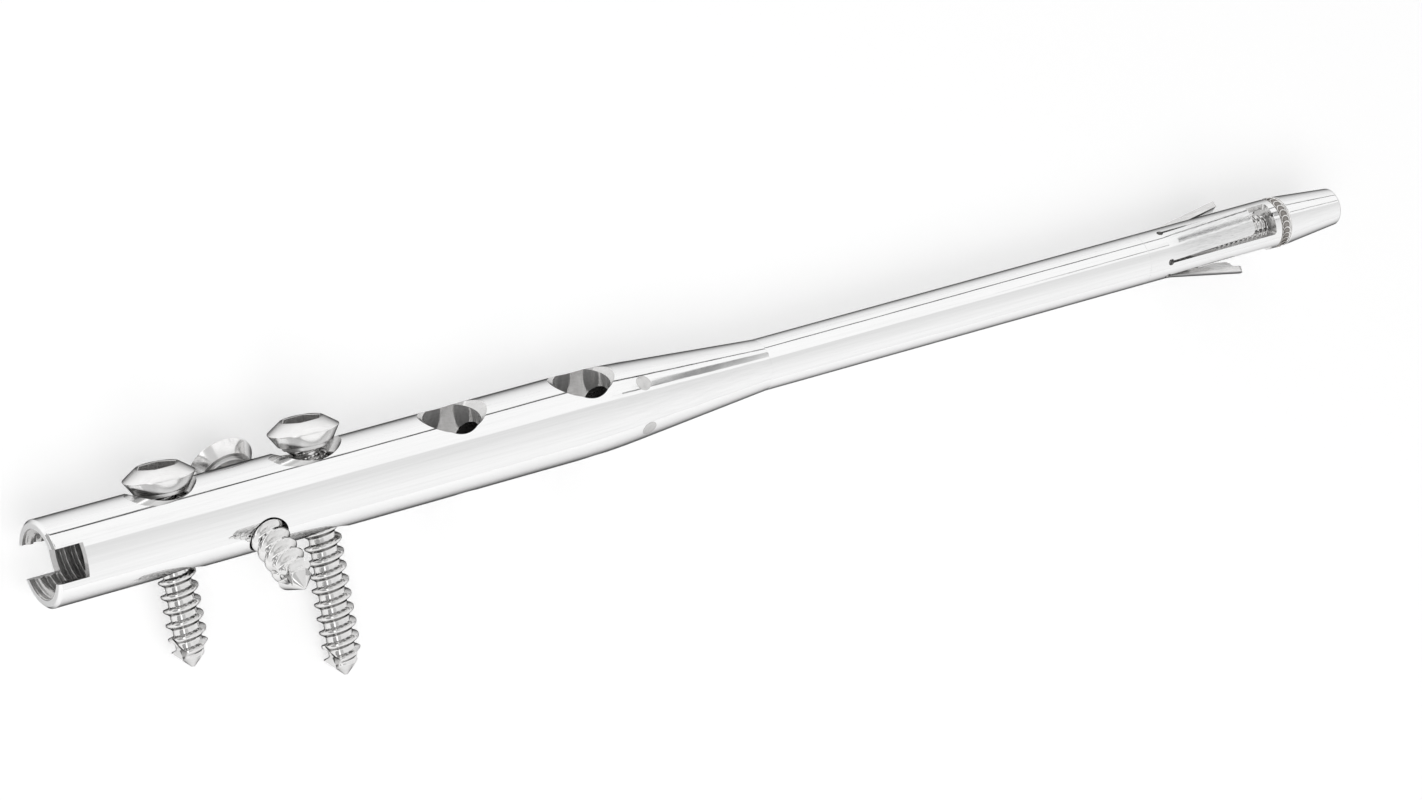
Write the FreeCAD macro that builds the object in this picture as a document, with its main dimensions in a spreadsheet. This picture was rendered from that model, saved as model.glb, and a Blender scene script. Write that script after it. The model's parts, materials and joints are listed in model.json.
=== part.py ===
import FreeCAD, Part
import os
import re
import Sketcher
from FreeCAD import Placement, Rotation, Vector

# A fibular nail lying at rest: +X runs along the nail from the driving end to the nose, +Z is up,
# and the origin is the centre of the driving-end face. Each piece is drawn upright, with the
# direction of the first and third locking screws along Z, and is then rolled to the rest pose.
# Lengths are in millimetres, angles in degrees.
NAIL_SIZES = {
    "nail_length": 110.0,
    "rest_angle": -71.5,
    # driving-end body
    "body_diameter": 6.2,
    "rim_chamfer": 0.2,
    "jig_thread_diameter": 5.0,
    "jig_thread_depth": 6.4,
    "cannula_diameter": 3.2,
    "notch_depth": 2.2,
    "notch_width": 2.4,
    "notch_angle": -3.0,
    "taper_start": 43.8,
    "taper_end": 57.6,
    "shaft_diameter": 3.8,
    # holes for the locking screws
    "lock_hole_diameter": 3.0,
    "lock_seat_diameter": 5.1,
    "lock_neck_bore": 3.5,
    "lock_neck_floor": 1.8,
    "lock_exit_diameter": 4.2,
    "second_screw_angle": -53.0,
    # open holes for screws that cross to the tibia
    "cross_hole_1_x": 32.0,
    "cross_hole_2_x": 42.6,
    "cross_hole_angle": 20.0,
    "cross_hole_diameter": 4.1,
    "cross_mouth_diameter": 5.2,
    # plug welds between the taper and the shaft tube
    "plug_x": 46.7,
    "plug_diameter": 1.17,
    "plug_rise": 0.03,
    "plug_count": 5,
    "plug_angle": -87.0,
    # shaft tube
    "spigot_start": 46.0,
    "shaft_bore": 2.4,
    "front_length": 18.5,
    "front_spigot_length": 1.0,
    # talon sleeve
    "talon_angle": 65.0,
    "talon_count": 3,
    "sleeve_bore": 2.86,
    "keyhole_offset": 1.9,
    "keyhole_diameter": 0.5,
    "slot_width": 0.2,
    "window_angle": 84.0,
    "window_length": 9.95,
    "window_corner": 0.25,
    "talon_length": 7.3,
    "talon_spread_angle": 10.5,
    "talon_bend_radius": 6.0,
    "talon_corner": 0.45,
    "edge_search": 0.01,
    "tongue_width": 0.54,
    "tongue_clearance": 0.03,
    # weld seam between sleeve and nose
    "seam_gap_to_window": 0.5,
    "seam_width": 1.0,
    "seam_depth": 0.15,
    "seam_ring_drop": 0.05,
    "seam_spot_diameter": 0.96,
    "seam_spot_count": 18,
    # nose cone
    "nose_tip_diameter": 2.84,
    "nose_bore": 2.3,
    "nose_lip": 0.1,
    "nose_web": 1.8,
    "spigot_entry": 0.85,
    # actuator screw and what it turns in
    "actuator_diameter": 1.8,
    "actuator_head_diameter": 2.2,
    "actuator_head_length": 1.3,
    "actuator_socket": 1.3,
    "actuator_socket_depth": 0.9,
    "journal_diameter": 1.3,
    "journal_clearance": 0.03,
    "end_clearance": 0.05,
    "bush_length": 0.8,
    "collar_diameter": 2.1,
    "collar_length": 0.6,
    # expander, shown with the talons spread
    "expander_offset": 4.1,
    "expander_length": 2.4,
    "expander_clearance": 0.05,
    "lobe_width": 1.6,
    "lobe_root": 1.1,
    "lobe_diameter": 3.62,
    "lobe_ramp": 1.0,
    # locking screws
    "thread_diameter": 2.7,
    "core_diameter": 1.9,
    "thread_pitch": 1.0,
    "thread_crest": 0.12,
    "thread_steep_flank": 0.12,
    "thread_sloped_flank": 0.4,
    "thread_end_margin": 0.6,
    "tip_height": 1.2,
    "flute_height": 3.4,
    "flute_core": 0.95,
    "flute_count": 3,
    "head_diameter": 5.1,
    "head_rim_diameter": 3.12,
    "head_top_height": 0.72,
    "head_seat_height": 0.95,
    "head_seat_diameter": 3.9,
    "neck_diameter": 3.3,
    "neck_height": 0.3,
    "hex_across_flats": 2.5,
    "hex_depth": 1.2,
    "screw_1_x": 9.75,
    "screw_1_seat": 3.77,
    "screw_1_length": 13.5,
    "screw_2_x": 15.9,
    "screw_2_seat": 4.3,
    "screw_2_length": 12.6,
    "screw_3_x": 21.0,
    "screw_3_seat": 4.27,
    "screw_3_length": 17.6,
}

doc = FreeCAD.newDocument("fibular_nail")
sheet = doc.addObject("Spreadsheet::Sheet", "Sizes")
for row, (alias, number) in enumerate(NAIL_SIZES.items(), start=1):
    sheet.set(f"A{row}", alias)
    sheet.set(f"B{row}", str(number))
    sheet.setAlias(f"B{row}", alias)
doc.recompute()


def bound(formula):
    # Formula with each size written as its cell of the sheet
    return re.sub(r"[a-z]\w*", lambda word: "Sizes." + word.group()
                  if word.group() in NAIL_SIZES else word.group(), formula)


def value(formula):
    return float(sheet.evalExpression(bound(formula)))


# Places that several pieces share, as formulas of the sizes
body_radius = "body_diameter / 2"
shaft_radius = "shaft_diameter / 2"
shaft_end = "(nail_length - front_length)"
keyhole_x = f"({shaft_end} + keyhole_offset)"
window_end = f"({keyhole_x} + window_length)"
seam_start = f"({window_end} + seam_gap_to_window)"
seam_middle = f"({seam_start} + seam_width / 2)"
seam_end = f"({seam_start} + seam_width)"
seam_floor = f"({shaft_radius} - seam_depth)"
nose_spigot_start = f"({seam_middle} - spigot_entry)"
nose_web_end = f"({nose_spigot_start} + nose_web)"
bush_start = f"({shaft_end} + front_spigot_length)"
bush_end = f"({bush_start} + bush_length)"
expander_start = f"({shaft_end} + expander_offset)"
sleeve_wall = "(shaft_diameter / 2 - sleeve_bore / 2)"
degree = "(3.14159265358979 / 180)"
slot_angle = f"(slot_width / {shaft_radius} / {degree})"
talon_half_angle = f"(window_angle / 2 - {slot_angle})"
talon_bend_length = f"(talon_bend_radius * talon_spread_angle * {degree})"


def make_body(label, turn, x="0"):
    # Body rolled about the nail's axis, and shifted along it
    body = doc.addObject("PartDesign::Body", label)
    body.Label = label
    body.Placement = Placement(Vector(0, 0, 0), Rotation(Vector(1, 0, 0), value(turn)))
    body.setExpression("Placement.Rotation.Angle", bound(turn))
    body.setExpression("Placement.Base.x", bound(x))
    return body


def origin_item(body, role):
    return next(item for item in body.Origin.OriginFeatures if item.Role == role)


def add_sketch(body, name, role, x="0", height="0", turn="0"):
    # Sketch on a plane of its body: moved along X, turned about X, then lifted off the plane
    sketch = body.newObject("Sketcher::SketchObject", name)
    sketch.AttachmentSupport = [(origin_item(body, role), "")]
    sketch.MapMode = "FlatFace"
    place = Placement(Vector(value(x), 0, value(height)), Rotation(Vector(1, 0, 0), value(turn)))
    sketch.AttachmentOffset = place
    sketch.setExpression("AttachmentOffset.Base.x", bound(x))
    sketch.setExpression("AttachmentOffset.Base.z", bound(height))
    sketch.setExpression("AttachmentOffset.Rotation.Angle", bound(turn))
    return sketch


def pin_point(sketch, line, end, across, up):
    # Both coordinates of a line's end, measured from the sketch's origin
    for kind, formula in (("DistanceX", across), ("DistanceY", up)):
        place = sketch.addConstraint(Sketcher.Constraint(kind, line, end, value(formula)))
        sketch.setExpression(f"Constraints[{place}]", bound(formula))


def draw_outline(sketch, points):
    # Closed outline with straight sides, each corner bound to the sizes
    corners = [Vector(value(across), value(up), 0) for across, up in points]
    first = sketch.GeometryCount
    count = len(points)
    for place, corner in enumerate(corners):
        sketch.addGeometry(Part.LineSegment(corner, corners[(place + 1) % count]), False)
    for place, (across, up) in enumerate(points):
        following = first + (place + 1) % count
        sketch.addConstraint(Sketcher.Constraint("Coincident", first + place, 2, following, 1))
        pin_point(sketch, first + place, 1, across, up)


def draw_circle(sketch, across, up, diameter):
    centre = Vector(value(across), value(up), 0)
    line = sketch.addGeometry(Part.Circle(centre, Vector(0, 0, 1), value(diameter) / 2), False)
    pin_point(sketch, line, 3, across, up)
    size = sketch.addConstraint(Sketcher.Constraint("Diameter", line, value(diameter)))
    sketch.setExpression(f"Constraints[{size}]", bound(diameter))


def rectangle(low, high, half_width):
    return [(low, f"-{half_width}"), (high, f"-{half_width}"), (high, half_width), (low, half_width)]


def turned(body, name, kind, sketch, axis):
    # Revolution or Groove of a whole turn about an axis of the sketch
    feature = body.newObject("PartDesign::" + kind, name)
    feature.Profile = sketch
    feature.ReferenceAxis = (sketch, [axis])
    feature.Angle = 360
    sketch.Visibility = False
    return feature


def straight(body, name, kind, sketch, length, backwards=False):
    # Pad or Pocket of a set length
    feature = body.newObject("PartDesign::" + kind, name)
    feature.Profile = sketch
    feature.setExpression("Length", bound(length))
    feature.Reversed = backwards
    return feature


def around(body, name, features, axis_role, count):
    # Equal copies round an axis of the body
    pattern = body.newObject("PartDesign::PolarPattern", name)
    pattern.Originals = features
    pattern.Axis = (origin_item(body, axis_role), [""])
    pattern.Angle = 360
    pattern.setExpression("Occurrences", bound(count))
    body.Tip = pattern
    return pattern


def lathe(body, name, points, axis="H_Axis", role="XY_Plane"):
    sketch = add_sketch(body, name + "_profile", role)
    draw_outline(sketch, points)
    return turned(body, name, "Revolution", sketch, axis)


def ring(x_start, x_end, inner, outer):
    return [(x_start, inner), (x_end, inner), (x_end, outer), (x_start, outer)]


# Driving-end body: turned bar with its thread bore, cannula and long taper
def make_driving_end_body():
    body = make_body("driving_end_body", "rest_angle")
    lathe(body, "bar", [
        ("0", "jig_thread_diameter / 2"),
        ("0", f"{body_radius} - rim_chamfer"),
        ("rim_chamfer", body_radius),
        ("taper_start", body_radius),
        ("taper_end", shaft_radius),
        ("taper_end", "cannula_diameter / 2"),
        ("jig_thread_depth", "cannula_diameter / 2"),
        ("jig_thread_depth", "jig_thread_diameter / 2"),
    ])
    cut_notches(body)
    for place, turn, exit_cone in (("1", "0", True), ("2", "second_screw_angle", False), ("3", "0", True)):
        cut_lock_hole(body, place, turn, exit_cone)
    for place in ("1", "2"):
        cut_cross_hole(body, place)
    cut_plug_holes(body)
    return body


def cut_notches(body):
    # One slot across the rim makes the two opposite notches that the driver keys into
    sketch = add_sketch(body, "notch_outline", "XZ_Plane", turn="notch_angle")
    draw_outline(sketch, rectangle("-rim_chamfer", "notch_depth", "notch_width / 2"))
    notch = straight(body, "notches", "Pocket", sketch, "body_diameter * 2")
    notch.Midplane = True


def cut_lock_hole(body, place, turn, exit_cone):
    # Cross hole with a conical seat, whose mouth is as wide as the screw's head at the surface
    reach = f"({body_radius} + head_seat_height)"
    seat_slope = "((head_diameter - head_seat_diameter) / 2 / head_seat_height)"
    seat_floor = f"({body_radius} - (lock_seat_diameter - head_seat_diameter) / 2 / {seat_slope})"
    hole = "lock_hole_diameter / 2"
    exit_width = "((lock_exit_diameter - lock_hole_diameter) / 2)"
    foot = [("0", f"-{reach}"), (hole, f"-{reach}")]
    if exit_cone:
        foot = [
            ("0", f"-{reach}"),
            (f"{hole} + {exit_width} + head_seat_height", f"-{reach}"),
            (hole, f"-({body_radius} - {exit_width})"),
        ]
    sketch = add_sketch(body, f"lock_hole_{place}_profile", "XZ_Plane", x=f"screw_{place}_x", turn=turn)
    draw_outline(sketch, foot + [
        (hole, "lock_neck_floor"),
        ("lock_neck_bore / 2", "lock_neck_floor"),
        ("lock_neck_bore / 2", seat_floor),
        ("head_seat_diameter / 2", seat_floor),
        (f"lock_seat_diameter / 2 + head_seat_height * {seat_slope}", reach),
        ("0", reach),
    ])
    turned(body, f"lock_hole_{place}", "Groove", sketch, "V_Axis")


def cut_cross_hole(body, place):
    # Plain cross hole with a bevelled mouth on each side
    reach = f"({body_radius} + rim_chamfer)"
    bevel = "((cross_mouth_diameter - cross_hole_diameter) / 2)"
    mouth = f"cross_hole_diameter / 2 + {bevel} + rim_chamfer"
    hole = "cross_hole_diameter / 2"
    sketch = add_sketch(body, f"cross_hole_{place}_profile", "XZ_Plane", x=f"cross_hole_{place}_x",
                        turn="cross_hole_angle")
    draw_outline(sketch, [
        ("0", f"-{reach}"),
        (mouth, f"-{reach}"),
        (hole, f"-({body_radius} - {bevel})"),
        (hole, f"{body_radius} - {bevel}"),
        (mouth, reach),
        ("0", reach),
    ])
    turned(body, f"cross_hole_{place}", "Groove", sketch, "V_Axis")


def cut_plug_holes(body):
    sketch = add_sketch(body, "plug_hole_outline", "XY_Plane", turn="plug_angle")
    draw_circle(sketch, "plug_x", "0", "plug_diameter")
    hole = straight(body, "plug_hole", "Pocket", sketch, "body_diameter", backwards=True)
    around(body, "plug_holes", [hole], "X_Axis", "plug_count")


# Plug welds: round fillings of the taper's holes, seated on the spigot inside
def make_plug_welds():
    plugs = []
    for place in range(int(value("plug_count"))):
        plug = doc.addObject("Part::Cylinder", f"plug_{place + 1}")
        turn = f"rest_angle + plug_angle + {place} * 360 / plug_count"
        plug.setExpression("Radius", bound("plug_diameter / 2"))
        taper_drop = "(body_diameter - shaft_diameter) / 2 * (plug_x - taper_start) / (taper_end - taper_start)"
        plug.setExpression("Height", bound(f"{body_radius} - {taper_drop} + plug_rise"))
        plug.Placement = Placement(Vector(0, 0, 0), Rotation(Vector(1, 0, 0), value(turn)))
        plug.setExpression("Placement.Rotation.Angle", bound(turn))
        plug.setExpression("Placement.Base.x", bound("plug_x"))
        plugs.append(plug)
    group = doc.addObject("Part::Compound", "plug_group")
    group.Links = plugs
    core = doc.addObject("Part::Cylinder", "plug_core")
    core.setExpression("Radius", bound("cannula_diameter / 2"))
    core.setExpression("Height", bound("plug_diameter * 2"))
    core.Placement = Placement(Vector(0, 0, 0), Rotation(Vector(0, 1, 0), 90))
    core.setExpression("Placement.Base.x", bound("plug_x - plug_diameter"))
    welds = doc.addObject("Part::Cut", "plug_welds")
    welds.Label = "plug_welds"
    welds.Base = group
    welds.Tool = core
    return welds


# Shaft tube: slim tube turned down at both ends to fit inside its neighbours
def make_shaft_tube():
    body = make_body("shaft_tube", "rest_angle")
    lathe(body, "tube", [
        ("spigot_start", "shaft_bore / 2"),
        ("spigot_start", "cannula_diameter / 2"),
        ("taper_end", "cannula_diameter / 2"),
        ("taper_end", shaft_radius),
        (shaft_end, shaft_radius),
        (shaft_end, "sleeve_bore / 2"),
        (bush_start, "sleeve_bore / 2"),
        (bush_start, "shaft_bore / 2"),
    ])
    return body


# Talon sleeve: one tube, cut into windows in which the talons stay hinged at their roots
def make_talon_sleeve():
    body = make_body("talon_sleeve", "rest_angle + talon_angle")
    lathe(body, "sleeve", [
        (shaft_end, "sleeve_bore / 2"),
        (shaft_end, shaft_radius),
        (seam_start, shaft_radius),
        (seam_start, seam_floor),
        (seam_middle, seam_floor),
        (seam_middle, "sleeve_bore / 2"),
    ])
    window = cut_window(body)
    keyholes = [cut_keyhole(body, "left", "1"), cut_keyhole(body, "right", "-1")]
    slot = add_sketch(body, "tongue_slot_outline", "XY_Plane")
    draw_outline(slot, rectangle(f"{window_end} - slot_width", f"{seam_middle} + slot_width",
                                 "(tongue_width / 2 + tongue_clearance)"))
    tongue_slot = straight(body, "tongue_slot", "Pocket", slot, "shaft_diameter", backwards=True)
    around(body, "windows", [window, *keyholes, tongue_slot], "X_Axis", "talon_count")
    talon = sweep_talon(body)
    around(body, "talons", [talon], "X_Axis", "talon_count")
    doc.recompute()
    round_corners(body, "talon_corners", talon_corner_edges, "talon_corner")
    round_corners(body, "window_corners", window_corner_edges, "window_corner")
    return body


def cut_window(body):
    # Cut between two radial planes, as a laser cuts a tube that turns under it
    profile = add_sketch(body, "window_profile", "XZ_Plane")
    draw_outline(profile, ring(keyhole_x, window_end, "actuator_diameter / 2", "shaft_diameter"))
    window = turned(body, "window", "Groove", profile, "H_Axis")
    window.setExpression("Angle", bound("window_angle"))
    window.Midplane = True
    return window


def cut_keyhole(body, name, side):
    # Round hole at the closed end of a slot
    turn = f"{side} * (window_angle / 2 - {slot_angle} / 2)"
    outline = add_sketch(body, f"{name}_keyhole_outline", "XY_Plane", turn=turn)
    draw_circle(outline, keyhole_x, "0", "keyhole_diameter")
    return straight(body, f"{name}_keyhole", "Pocket", outline, "shaft_diameter", backwards=True)


def sweep_talon(body):
    # The talon's section is a strip of the tube's own wall; its path bends out of the tube
    section = add_sketch(body, "talon_section", "YZ_Plane", height=keyhole_x)
    draw_wall_strip(section)
    path = add_sketch(body, "talon_path", "XZ_Plane")
    draw_talon_path(path)
    talon = body.newObject("PartDesign::AdditivePipe", "talon")
    talon.Profile = section
    talon.Spine = (path, [])
    return talon


def draw_wall_strip(section):
    # Two arcs about the nail's axis, closed by radial sides
    across = f"sin({talon_half_angle} * 1 deg)"
    up = f"cos({talon_half_angle} * 1 deg)"
    arcs = []
    for radius in ("sleeve_bore / 2", shaft_radius):
        side = value(f"{radius} * {across}")
        height = value(f"{radius} * {up}")
        arc = Part.Arc(Vector(side, height, 0), Vector(0, value(radius), 0), Vector(-side, height, 0))
        arcs.append(section.addGeometry(arc, False))
        section.addConstraint(Sketcher.Constraint("Coincident", arcs[-1], 3, -1, 1))
        pin_point(section, arcs[-1], 1, f"{radius} * {across}", f"{radius} * {up}")
        far = section.addConstraint(Sketcher.Constraint("DistanceX", arcs[-1], 2, -side))
        section.setExpression(f"Constraints[{far}]", bound(f"-{radius} * {across}"))
    for end in (1, 2):
        inner_point = section.getPoint(arcs[0], end)
        outer_point = section.getPoint(arcs[1], end)
        side_line = section.addGeometry(Part.LineSegment(inner_point, outer_point), False)
        section.addConstraint(Sketcher.Constraint("Coincident", side_line, 1, arcs[0], end))
        section.addConstraint(Sketcher.Constraint("Coincident", side_line, 2, arcs[1], end))


def draw_talon_path(path):
    # Bend in the sheet's radius, then straight to the talon's end
    wall_middle = "(sleeve_bore + shaft_diameter) / 4"
    centre_up = f"{wall_middle} + talon_bend_radius"
    centre = Vector(value(keyhole_x), value(centre_up), 0)
    radius = value("talon_bend_radius")
    spread = value(f"talon_spread_angle * {degree}")
    circle = Part.Circle(centre, Vector(0, 0, 1), radius)
    downward = value(f"270 * {degree}")
    bend = path.addGeometry(Part.ArcOfCircle(circle, downward, downward + spread), False)
    bend_end = path.getPoint(bend, 2)
    length = f"talon_length - {talon_bend_length}"
    direction = Rotation(Vector(0, 0, 1), value("talon_spread_angle")).multVec(Vector(1, 0, 0))
    run = path.addGeometry(Part.LineSegment(bend_end, bend_end + direction * value(length)), False)
    pin_point(path, bend, 3, keyhole_x, centre_up)
    pinned = [
        (Sketcher.Constraint("DistanceX", bend, 1, value(keyhole_x)), keyhole_x),
        (Sketcher.Constraint("Radius", bend, radius), "talon_bend_radius"),
        (Sketcher.Constraint("Angle", run, spread), "talon_spread_angle * 1 deg"),
        (Sketcher.Constraint("Distance", run, value(length)), length),
    ]
    for constraint, formula in pinned:
        place = path.addConstraint(constraint)
        path.setExpression(f"Constraints[{place}]", bound(formula))
    path.addConstraint(Sketcher.Constraint("Tangent", bend, 2, run, 1))


def round_corners(body, name, choose, radius):
    # Fillet on the edges that the given rule chooses from the finished shape
    base = body.Tip
    chosen = [f"Edge{place}" for place, edge in enumerate(base.Shape.Edges, start=1) if choose(edge)]
    fillet = body.newObject("PartDesign::Fillet", name)
    fillet.Base = (base, chosen)
    fillet.setExpression("Radius", bound(radius))
    doc.recompute()
    return fillet


def talon_corner_edges(edge):
    # Edges through the wall at the free end of a talon, clear of the tube
    middle = edge.CenterOfMass
    off_axis = Vector(0, middle.y, middle.z).Length
    return (edge.Length < value("sleeve_bore / 2")
            and middle.x > value(f"{keyhole_x} + talon_length - talon_corner * 2")
            and middle.x < value(window_end) - value("window_corner")
            and off_axis > value(shaft_radius)
            and abs(edge.Length - value(sleeve_wall)) < value("window_corner"))


def window_corner_edges(edge):
    # Edges through the wall at the nose side of a window, half its angle off its middle
    middle = edge.CenterOfMass
    margin = value("edge_search")
    if abs(middle.x - value(window_end)) > margin or edge.BoundBox.XLength > margin:
        return False
    step = 360 / value("talon_count")
    off_middle = Vector(0, 0, 1).getAngle(Vector(0, middle.y, middle.z)) / value(degree)
    side = value("window_angle / 2")
    places = [abs(off_middle - abs(step * place + sign * side)) for place in (0, 1) for sign in (1, -1)]
    return min(places) < margin and edge.Length < value(f"{sleeve_wall} + window_corner")


# Nose cone: spigot, bearing web, tongues that key into the sleeve, and the tapered end with its bore
def make_nose_cone():
    body = make_body("nose_cone", "rest_angle + talon_angle")
    lathe(body, "cone", [
        (nose_spigot_start, "journal_diameter / 2 + journal_clearance"),
        (nose_spigot_start, "sleeve_bore / 2"),
        (seam_middle, "sleeve_bore / 2"),
        (seam_middle, shaft_radius),
        (seam_end, shaft_radius),
        ("nail_length - nose_lip", "nose_tip_diameter / 2"),
        ("nail_length", "nose_tip_diameter / 2 - nose_lip"),
        ("nail_length", "nose_bore / 2 + nose_lip / 2"),
        ("nail_length - nose_lip / 2", "nose_bore / 2"),
        (nose_web_end, "nose_bore / 2"),
        (nose_web_end, "journal_diameter / 2 + journal_clearance"),
    ])
    outline = add_sketch(body, "tongue_outline", "XY_Plane", height="sleeve_bore / 2 - seam_depth")
    draw_outline(outline, rectangle(f"{window_end} + end_clearance", seam_middle, "tongue_width / 2"))
    tongue = straight(body, "tongue", "Pad", outline, f"{sleeve_wall} + seam_depth - end_clearance")
    around(body, "tongues", [tongue], "X_Axis", "talon_count")
    groove = add_sketch(body, "seam_groove_profile", "XY_Plane")
    draw_outline(groove, ring(seam_start, seam_end, seam_floor, f"{shaft_radius} + seam_depth"))
    turned(body, "seam_groove", "Groove", groove, "H_Axis")
    return body


# Weld seam: a ring of overlapping round spots in the groove between sleeve and nose
def make_nose_weld_seam():
    body = make_body("nose_weld_seam", "rest_angle + talon_angle")
    lathe(body, "seam_ring", ring(seam_start, seam_end, seam_floor, f"({shaft_radius} - seam_ring_drop)"))
    outline = add_sketch(body, "spot_outline", "XY_Plane", height=seam_floor)
    draw_circle(outline, seam_middle, "0", "seam_spot_diameter")
    spot = straight(body, "spot", "Pad", outline, "seam_depth")
    around(body, "spots", [spot], "X_Axis", "seam_spot_count")
    return body


# Actuator screw: hex-driven head, threaded rod, and the journal that turns in the nose
def make_actuator_screw():
    body = make_body("actuator_screw", "rest_angle")
    head_end = f"({bush_start} - end_clearance)"
    rod_end = f"({nose_spigot_start} - end_clearance)"
    lathe(body, "rod", [
        (f"{head_end} - actuator_head_length", "0"),
        (f"{head_end} - actuator_head_length", "actuator_head_diameter / 2"),
        (head_end, "actuator_head_diameter / 2"),
        (head_end, "actuator_diameter / 2"),
        (rod_end, "actuator_diameter / 2"),
        (rod_end, "journal_diameter / 2"),
        (f"{nose_web_end} + end_clearance + collar_length", "journal_diameter / 2"),
        (f"{nose_web_end} + end_clearance + collar_length", "0"),
    ])
    socket = add_sketch(body, "socket_outline", "YZ_Plane", height=f"{head_end} - actuator_head_length")
    draw_outline(socket, hexagon("actuator_socket"))
    straight(body, "socket", "Pocket", socket, "actuator_socket_depth", backwards=True)
    return body


def hexagon(across_flats):
    # Corner points of a hexagon; a corner is 1 / sqrt(3) of the width from the centre
    corner = f"{across_flats} / sqrt(3)"
    half = f"{corner} / 2"
    flat = f"{across_flats} / 2"
    return [(corner, "0"), (half, flat), (f"-{half}", flat),
            (f"-{corner}", "0"), (f"-{half}", f"-{flat}"), (half, f"-{flat}")]


# Bush that the actuator screw's head bears on
def make_actuator_bush():
    body = make_body("actuator_bush", "rest_angle")
    lathe(body, "bush", ring(bush_start, bush_end, "actuator_diameter / 2 + journal_clearance", "sleeve_bore / 2"))
    return body


# Collar fixed on the actuator's end, which holds it in the nose's web
def make_retaining_collar():
    body = make_body("retaining_collar", "rest_angle")
    collar_start = f"({nose_web_end} + end_clearance)"
    lathe(body, "collar", ring(collar_start, f"{collar_start} + collar_length",
                               "journal_diameter / 2", "collar_diameter / 2"))
    return body


# Expander: a nut on the actuator screw, with three ramped lobes that hold the talons out
def make_expander():
    body = make_body("expander", "rest_angle + talon_angle")
    expander_end = f"({expander_start} + expander_length)"
    bore = "actuator_diameter / 2 + journal_clearance"
    hub = "sleeve_bore / 2 - expander_clearance"
    lathe(body, "hub", ring(expander_start, expander_end, bore, hub))
    outline = add_sketch(body, "lobe_outline", "XY_Plane", height="lobe_root")
    draw_outline(outline, rectangle(expander_start, expander_end, "lobe_width / 2"))
    lobe = straight(body, "lobe", "Pad", outline, "lobe_diameter / 2 - actuator_diameter / 2")
    around(body, "lobes", [lobe], "X_Axis", "talon_count")
    ramp = add_sketch(body, "ramp_profile", "XY_Plane")
    draw_outline(ramp, [
        (expander_start, hub),
        (f"{expander_start} + lobe_ramp", "lobe_diameter / 2"),
        (expander_end, "lobe_diameter / 2"),
        (expander_end, "lobe_diameter"),
        (expander_start, "lobe_diameter"),
    ])
    turned(body, "ramp", "Groove", ramp, "H_Axis")
    return body


# Locking screw: blunt self-tapping tip, bone thread, neck, and a double-cone head with a hex socket
def make_locking_screw(place, turn):
    body = make_body(f"locking_screw_{place}", turn, x=f"screw_{place}_x")
    seat = f"screw_{place}_seat"
    tip = f"(screw_{place}_seat - screw_{place}_length)"
    neck_top = f"({seat} - head_seat_height)"
    neck_foot = f"({neck_top} - neck_height)"
    lathe(body, "blank", [
        ("0", tip),
        ("thread_diameter / 2", f"{tip} + tip_height"),
        ("thread_diameter / 2", neck_foot),
        ("neck_diameter / 2", neck_foot),
        ("neck_diameter / 2", neck_top),
        ("head_seat_diameter / 2", neck_top),
        ("head_diameter / 2", seat),
        ("head_rim_diameter / 2", f"{seat} + head_top_height"),
        ("0", f"{seat} + head_top_height"),
    ], axis="V_Axis", role="XZ_Plane")
    cut_bone_thread(body, neck_foot, tip)
    outline = add_sketch(body, "flute_outline", "XZ_Plane")
    draw_outline(outline, [
        ("flute_core / 2", f"{tip} - tip_height"),
        ("thread_diameter / 2 + thread_crest", f"{tip} - tip_height"),
        ("thread_diameter / 2 + thread_crest", f"{tip} + flute_height"),
        ("flute_core / 2", f"{tip} + flute_height / 2"),
    ])
    flute = straight(body, "flute", "Pocket", outline, "thread_diameter")
    around(body, "flutes", [flute], "Z_Axis", "flute_count")
    hexagon_sketch = add_sketch(body, "hex_outline", "XY_Plane", height=f"{seat} + head_top_height")
    draw_outline(hexagon_sketch, hexagon("hex_across_flats"))
    straight(body, "hex_socket", "Pocket", hexagon_sketch, "hex_depth")
    return body


def cut_bone_thread(body, top, tip):
    # Buttress grooves at the thread's pitch, steep on the side towards the head
    crest = "thread_diameter / 2 + thread_crest"
    root = "core_diameter / 2"
    groove_top = f"({top} - thread_crest)"
    groove_foot = f"({groove_top} - thread_pitch + thread_crest)"
    sketch = add_sketch(body, "thread_groove_profile", "XZ_Plane")
    draw_outline(sketch, [
        (crest, groove_foot),
        (root, f"{groove_foot} + thread_steep_flank"),
        (root, f"{groove_top} - thread_sloped_flank"),
        (crest, groove_top),
    ])
    groove = turned(body, "thread_groove", "Groove", sketch, "V_Axis")
    pattern = body.newObject("PartDesign::LinearPattern", "thread_grooves")
    pattern.Originals = [groove]
    pattern.Direction = (origin_item(body, "Z_Axis"), [""])
    pattern.Reversed = True
    turns = f"floor(({groove_top} - {tip} - thread_end_margin) / thread_pitch)"
    pattern.setExpression("Occurrences", bound(turns))
    pattern.setExpression("Length", bound(f"({turns} - 1) * thread_pitch"))
    body.Tip = pattern


pieces = [
    make_driving_end_body(),
    make_plug_welds(),
    make_shaft_tube(),
    make_talon_sleeve(),
    make_nose_cone(),
    make_nose_weld_seam(),
    make_actuator_screw(),
    make_actuator_bush(),
    make_retaining_collar(),
    make_expander(),
    make_locking_screw("1", "rest_angle"),
    make_locking_screw("2", "rest_angle + second_screw_angle"),
    make_locking_screw("3", "rest_angle"),
]
doc.recompute()

for item in doc.Objects:
    if "Invalid" in item.State or "Error" in item.State:
        raise RuntimeError(f"{item.Name} failed: {item.State}")
for piece in pieces:
    if piece.Shape.isNull() or not piece.Shape.isValid():
        raise RuntimeError(f"{piece.Label} has no valid shape")

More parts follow.
